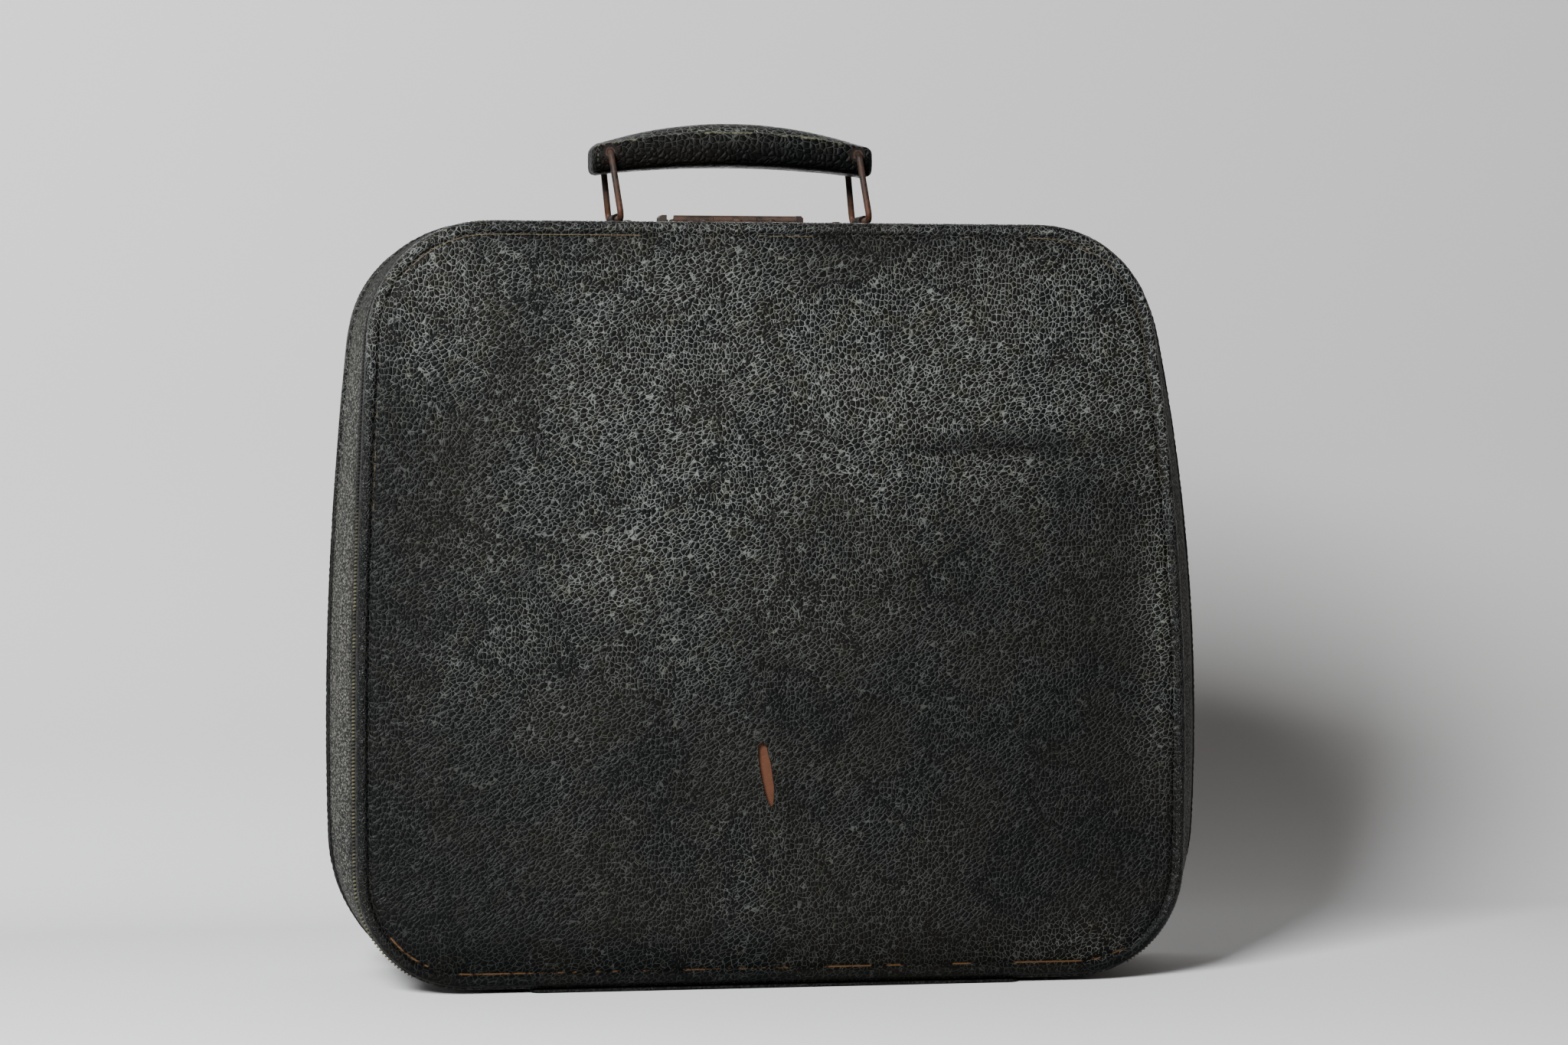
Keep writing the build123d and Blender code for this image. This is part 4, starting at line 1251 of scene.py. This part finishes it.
def grip_dust(place):
    """Dust lies on the sloping top, thins down the side and is gone from the lower third."""
    share = (place.x - grip_middle.x) / grip_half_length
    half = grip_section(max(min(share, 1.0), -1.0))
    sole = half[0][1]
    ridge = half[8][1]
    up = (place.z - sole) / (ridge - sole)
    if up > 1:
        return 0.34 * (1 - max(abs(share) - 0.93, 0.0) / 0.07)
    return held((up - 0.38) / 0.45) * 0.12


def ridge_wear(place):
    """The ridge is worn to a pale lip, and so is the seam round the left end."""
    share = (place.x - grip_middle.x) / grip_half_length
    if abs(share) > 0.93:
        return bell(share + end_seam, 0.005) * (0.25 + 0.5 * lumps(place, 5 * mm))
    half = grip_section(share)
    away = abs(place.z - half[9][1])
    return bell(away, 0.8 * mm) * (0.6 + 0.6 * lumps(place, 9 * mm, 4.0)) * (1 - share ** 4)


eyelet_low, eyelet_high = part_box("grip_eyelets")
hole_z = (eyelet_low.z + eyelet_high.z) / 2
hole_radius = (eyelet_high.z - eyelet_low.z) / 2
hole_xs = (eyelet_low.x + hole_radius, eyelet_high.x - hole_radius)


def hole_stain(place):
    near = min(math.hypot(place.x - x, place.z - hole_z) for x in hole_xs)
    ragged_edge = 1 + 0.35 * lumps(place, 3 * mm, 2.0)
    return bell(near, 3.6 * mm * ragged_edge)


grip_piece = grip_skin()
rounding = grip_piece.modifiers.new("rounding", "SUBSURF")
rounding.levels = 2
rounding.render_levels = 2
settle(grip_piece)
for vert in grip_piece.data.vertices:
    vert.co += vert.normal * (pebble(vert.co, 2.2 * mm) - 0.6) * 0.07 * mm
finish_piece(grip_piece, "grip", "black_leather", grip_leather, ["grip_leather", "grip_core"],
             inset=worn_line_inset, dust=grip_dust, worn=ridge_wear, stain=hole_stain)

# %% [markdown]
# ## The strips over the hinge
# A strip of leather is glued over each leaf of the hinge, and the case stands on them. Each starts as a box
# the size of the one in the frame. Its corners are rounded by a bevel, and its rim by a second, finer one.

# %% Hinge strips
strip_corner = 4.0 * mm
strip_rim = 0.45 * mm


def strip(name, node):
    bm = box_between(*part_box(node))
    upright = [e for e in bm.edges if abs(e.verts[0].co.z - e.verts[1].co.z) > 0.5 * mm]
    round_off(bm, upright, strip_corner, 6)
    rim = [e for e in bm.edges if abs(e.verts[0].co.z - e.verts[1].co.z) < 1e-6]
    round_off(bm, rim, strip_rim, 2)
    return as_object(bm, name)


for name, body, node in (("lid_strip", "lid", "strip_lid"), ("base_strip", "root", "strip_base")):
    finish_piece(strip(name, node), body, "black_leather", pebbled, [node], rubbed=0.7, dust=0.1)

# %% [markdown]
# ## The cloth inside
# Each half is lined with cloth, glued to the wall and the panel with a soft bend between them. The lining
# is a tray: rows run from the seam down the wall, round the bend, to the middle of the panel, then back
# along the boards to close the shell. Low waves show where the glue has let go.

# %% Linings
cloth_wave = 0.25 * mm
bend_radius = 2.0 * mm
wall_steps = 12
bend_rows = 4
tray_rows = 22


def tray(name, guide, y_seam, y_floor, y_board):
    """A lining from the seam to the floor of one half; y_board is the board behind the floor's cloth."""
    facing = 1 if y_floor > y_seam else -1

    def wall_loop(y, inset):
        return drawn_in(loop_at(guide, y), wall_skin_to_lining + inset)

    rows = [(at_depth(wall_loop(y_seam, 0.1 * mm), y_seam), 0.0)]
    bend_y = y_floor - facing * bend_radius
    for step in range(wall_steps + 1):
        y = y_seam + (bend_y - y_seam) * step / wall_steps
        loop = wall_loop(y, cloth)
        places = []
        for p, n in zip(loop, outward(loop)):
            push = (lumps(spot_at(p, y), 24 * mm, 6.0) - 0.6) * cloth_wave * min(step / 3, 1.0) * 0.5
            places.append(spot_at(p + n * push, y))
        rows.append((places, 0.0))
    for step in range(1, bend_rows + 1):
        angle = math.pi / 2 * step / bend_rows
        inset = cloth + bend_radius * (1 - math.cos(angle))
        y = bend_y + facing * bend_radius * math.sin(angle)
        rows.append((at_depth(wall_loop(bend_y, inset), y), 0.0))
    outline = wall_loop(bend_y, cloth + bend_radius)
    middle = Vector((0.0, sum(p.y for p in outline) / len(outline)))
    for step in range(1, tray_rows + 1):
        places = []
        for p in outline:
            spot = p.lerp(middle, step / tray_rows)
            wave = (lumps(spot_at(spot, 3.0), 34 * mm, 7.0) + 0.6) * cloth_wave
            places.append(spot_at(spot, y_floor - facing * wave * min(step / 3, 1.0)))
        rows.append((places, 0.0))
    rows.append((at_depth([middle] * columns, y_board), 0.0))
    rows.append((at_depth(wall_loop(y_floor, 0.1 * mm), y_board), 0.0))
    return skin(name, rows, joined=True)


lid_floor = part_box("lid_panel_lining")[1].y
for name, body, guide, y_seam, y_floor, y_board, nodes in (
    ("lid_lining", "lid", lid_guide, lid_seam, lid_floor, lid_floor - cloth,
     ["lid_wall_lining", "lid_panel_lining"]),
    ("base_lining", "root", base_guide, base_seam, lining_low.y, lining_high.y,
     ["base_wall_lining", "base_panel_lining"]),
):
    finish_piece(tray(name, guide, y_seam, y_floor, y_board), body, "lining_cloth", lining, nodes)

# %% [markdown]
# ## Studio sheet
# The photograph was taken with a long lens from a little to the left, with one large soft light on the
# left. The backdrop is one sheet that curves up from the floor close behind the case, so the case's shadow
# climbs it on the right. The sheet is a strip extruded along the curve, smooth shaded. The case stands on its
# hinge, so its open lid swings below the floor. An Ambient Occlusion node that looks into the sheet finds
# what is below it, and makes the paper clear there, so the lid can be seen.

# %% Studio sheet
sheet_half_width = 6.0
sheet_front = -5.0
sheet_back = 0.40
sheet_bend = 0.22
sheet_top = 3.5
bend_steps = 24
look_depth = 0.4


def studio_sheet():
    bm = bmesh.new()
    ends = [bm.verts.new((x, sheet_front, 0)) for x in (-sheet_half_width, sheet_half_width)]
    edges = [bm.edges.new(ends)]
    stops = [(sheet_back - sheet_bend, 0.0)]
    for i in range(1, bend_steps + 1):
        angle = math.pi / 2 * i / bend_steps
        y = sheet_back - sheet_bend + sheet_bend * math.sin(angle)
        stops.append((y, sheet_bend * (1 - math.cos(angle))))
    stops.append((sheet_back, sheet_top))
    for y, z in stops:
        made = bmesh.ops.extrude_edge_only(bm, edges=edges)["geom"]
        fresh = {g for g in made if isinstance(g, bmesh.types.BMVert)}
        for vert in fresh:
            vert.co.y = y
            vert.co.z = z
        edges = [g for g in made if isinstance(g, bmesh.types.BMEdge) and set(g.verts) == fresh]
    return as_object(bm, "studio_sheet")


def studio_paper():
    """Plain paper, clear from behind, so that the far side can be viewed, and above whatever is below it."""
    paper = Finish("studio_paper", roughness=0.9, specular=0.1)
    behind = paper.node("ShaderNodeNewGeometry").outputs["Backfacing"]
    look_below = {"Distance": look_depth}
    open_below = paper.node("ShaderNodeAmbientOcclusion", look_below, inside=True, samples=32).outputs["AO"]
    behind = paper.math("MAXIMUM", behind, paper.ramp(open_below, 0.95, 1.0, 1.0, 0.0, smooth=False))
    clear = paper.node("ShaderNodeBsdfTransparent").outputs[0]
    either = paper.node("ShaderNodeMixShader", {0: behind, 1: paper.shader.outputs[0], 2: clear})
    paper.plug(either.outputs[0], paper.tree.nodes["Material Output"].inputs["Surface"])
    # painted light: the floor is a lighter grey than the part of the sheet that climbs, for more light on the
    # floor
    climb = paper.ramp(paper.axes()["Z"], 0.0, 0.08)
    return paper.done(paper.mix(climb, grey(192, 192, 192), grey(172, 172, 171)))


backdrop = studio_sheet()
if backdrop.data.polygons[0].normal.z < 0:
    backdrop.data.flip_normals()
backdrop.data.materials.append(studio_paper())
print("paper faces up:", backdrop.data.polygons[0].normal.z > 0)

# %% [markdown]
# ## Lights
# The highlights and the shadow on the backdrop place the main light: thirty-two degrees to the left of
# straight in front, twenty-seven degrees up, and half a metre across. A weak light opposite it and dim air
# fill the shadow. The photograph's shadow is deep, so the paper is a mid grey that throws little light back,
# and a second light at the same place, linked to the paper alone, brings it up to its tone in the photograph.
# The backdrop would leave the far side of the case dark, so one more light is linked to the case alone. The
# paper blocks neither the main light nor the fill, so they reach an open lid below the floor.


# %% Lights
case_middle = Vector((0.0, 0.0, 0.17))
cool_white = (0.98, 0.99, 1.0)
warm_red = (1.0, 0.6, 0.5)


def soft_light(name, place, target, size, watts, colour=(1, 1, 1)):
    data = bpy.data.lights.new(name, "AREA")
    data.shape = "RECTANGLE"
    data.size, data.size_y = size
    data.energy = watts
    data.color = colour
    light = bpy.data.objects.new(name, data)
    light.location = place
    light.rotation_euler = (Vector(target) - Vector(place)).to_track_quat("-Z", "Y").to_euler()
    bpy.context.scene.collection.objects.link(light)
    return light


def from_case(turn, rise, distance):
    """A place at a distance from the middle of the case; turn is degrees to the left, rise degrees up."""
    flat = distance * math.cos(math.radians(rise))
    left = -flat * math.sin(math.radians(turn))
    near = -flat * math.cos(math.radians(turn))
    return left, near, case_middle.z + distance * math.sin(math.radians(rise))


key_place = from_case(32, 27, 1.5)
key_light = soft_light("key_light", key_place, case_middle, (0.5, 0.5), 52, cool_white)
paper_light = soft_light("paper_light", key_place, case_middle, (0.5, 0.5), 36, cool_white)
fill_light = soft_light("fill_light", from_case(-34, 20, 3.0), (0, 0, 0.15), (1.6, 1.6), 3.2, warm_red)
soft_light("backdrop_light", (-1.0, -0.6, 2.2), (-0.4, 0.4, 0.6), (1.2, 0.8), 1.2, cool_white)
back_light = soft_light("back_light", from_case(-170, 9, 3.0), (0, 0, 0.15), (1.4, 1.4), 45)

case_pieces = bpy.data.collections.new("case_pieces")
for piece in bpy.context.scene.objects:
    if piece.type == "MESH" and piece != backdrop:
        case_pieces.objects.link(piece)
studio_pieces = bpy.data.collections.new("studio_pieces")
studio_pieces.objects.link(backdrop)
back_light.light_linking.receiver_collection = case_pieces
paper_light.light_linking.receiver_collection = studio_pieces
for light in (key_light, fill_light, back_light):
    light.light_linking.blocker_collection = case_pieces

# %% [markdown]
# ## Air and camera
# Dim, slightly red air fills the shadows. A camera ray that goes through the paper meets a light grey, so
# the floor isn't a dark hole where it is clear. The camera was fitted to the photograph's outlines.

# %% Air
air_strength = 0.02
seen_strength = 0.55
world = bpy.data.worlds.new("studio_air")
world.use_nodes = True
air = world.node_tree.nodes
links = world.node_tree.links
air["Background"].inputs["Color"].default_value = grey(228, 200, 194)
air["Background"].inputs["Strength"].default_value = air_strength
seen = air.new("ShaderNodeBackground")
seen.inputs["Strength"].default_value = seen_strength
chosen = air.new("ShaderNodeMixShader")
links.new(air.new("ShaderNodeLightPath").outputs["Is Camera Ray"], chosen.inputs[0])
links.new(air["Background"].outputs[0], chosen.inputs[1])
links.new(seen.outputs[0], chosen.inputs[2])
links.new(chosen.outputs[0], air["World Output"].inputs[0])
bpy.context.scene.world = world
print("air of strength", air_strength, "and", seen_strength, "where the camera sees it")

# %% Camera
camera_place = Vector((-294.9 * mm, -1688.4 * mm, 216.2 * mm))
camera_turn = math.radians(10.274)
camera_drop = math.radians(1.291)
camera_data = bpy.data.cameras.new("photo_camera")
camera_data.lens = 100.0
camera_data.sensor_width = 36.0
camera = bpy.data.objects.new("photo_camera", camera_data)
camera.location = camera_place
camera.rotation_euler = (math.pi / 2 - camera_drop, 0, -camera_turn)
bpy.context.scene.collection.objects.link(camera)
bpy.context.scene.camera = camera
print("camera at", [round(v, 3) for v in camera_place])
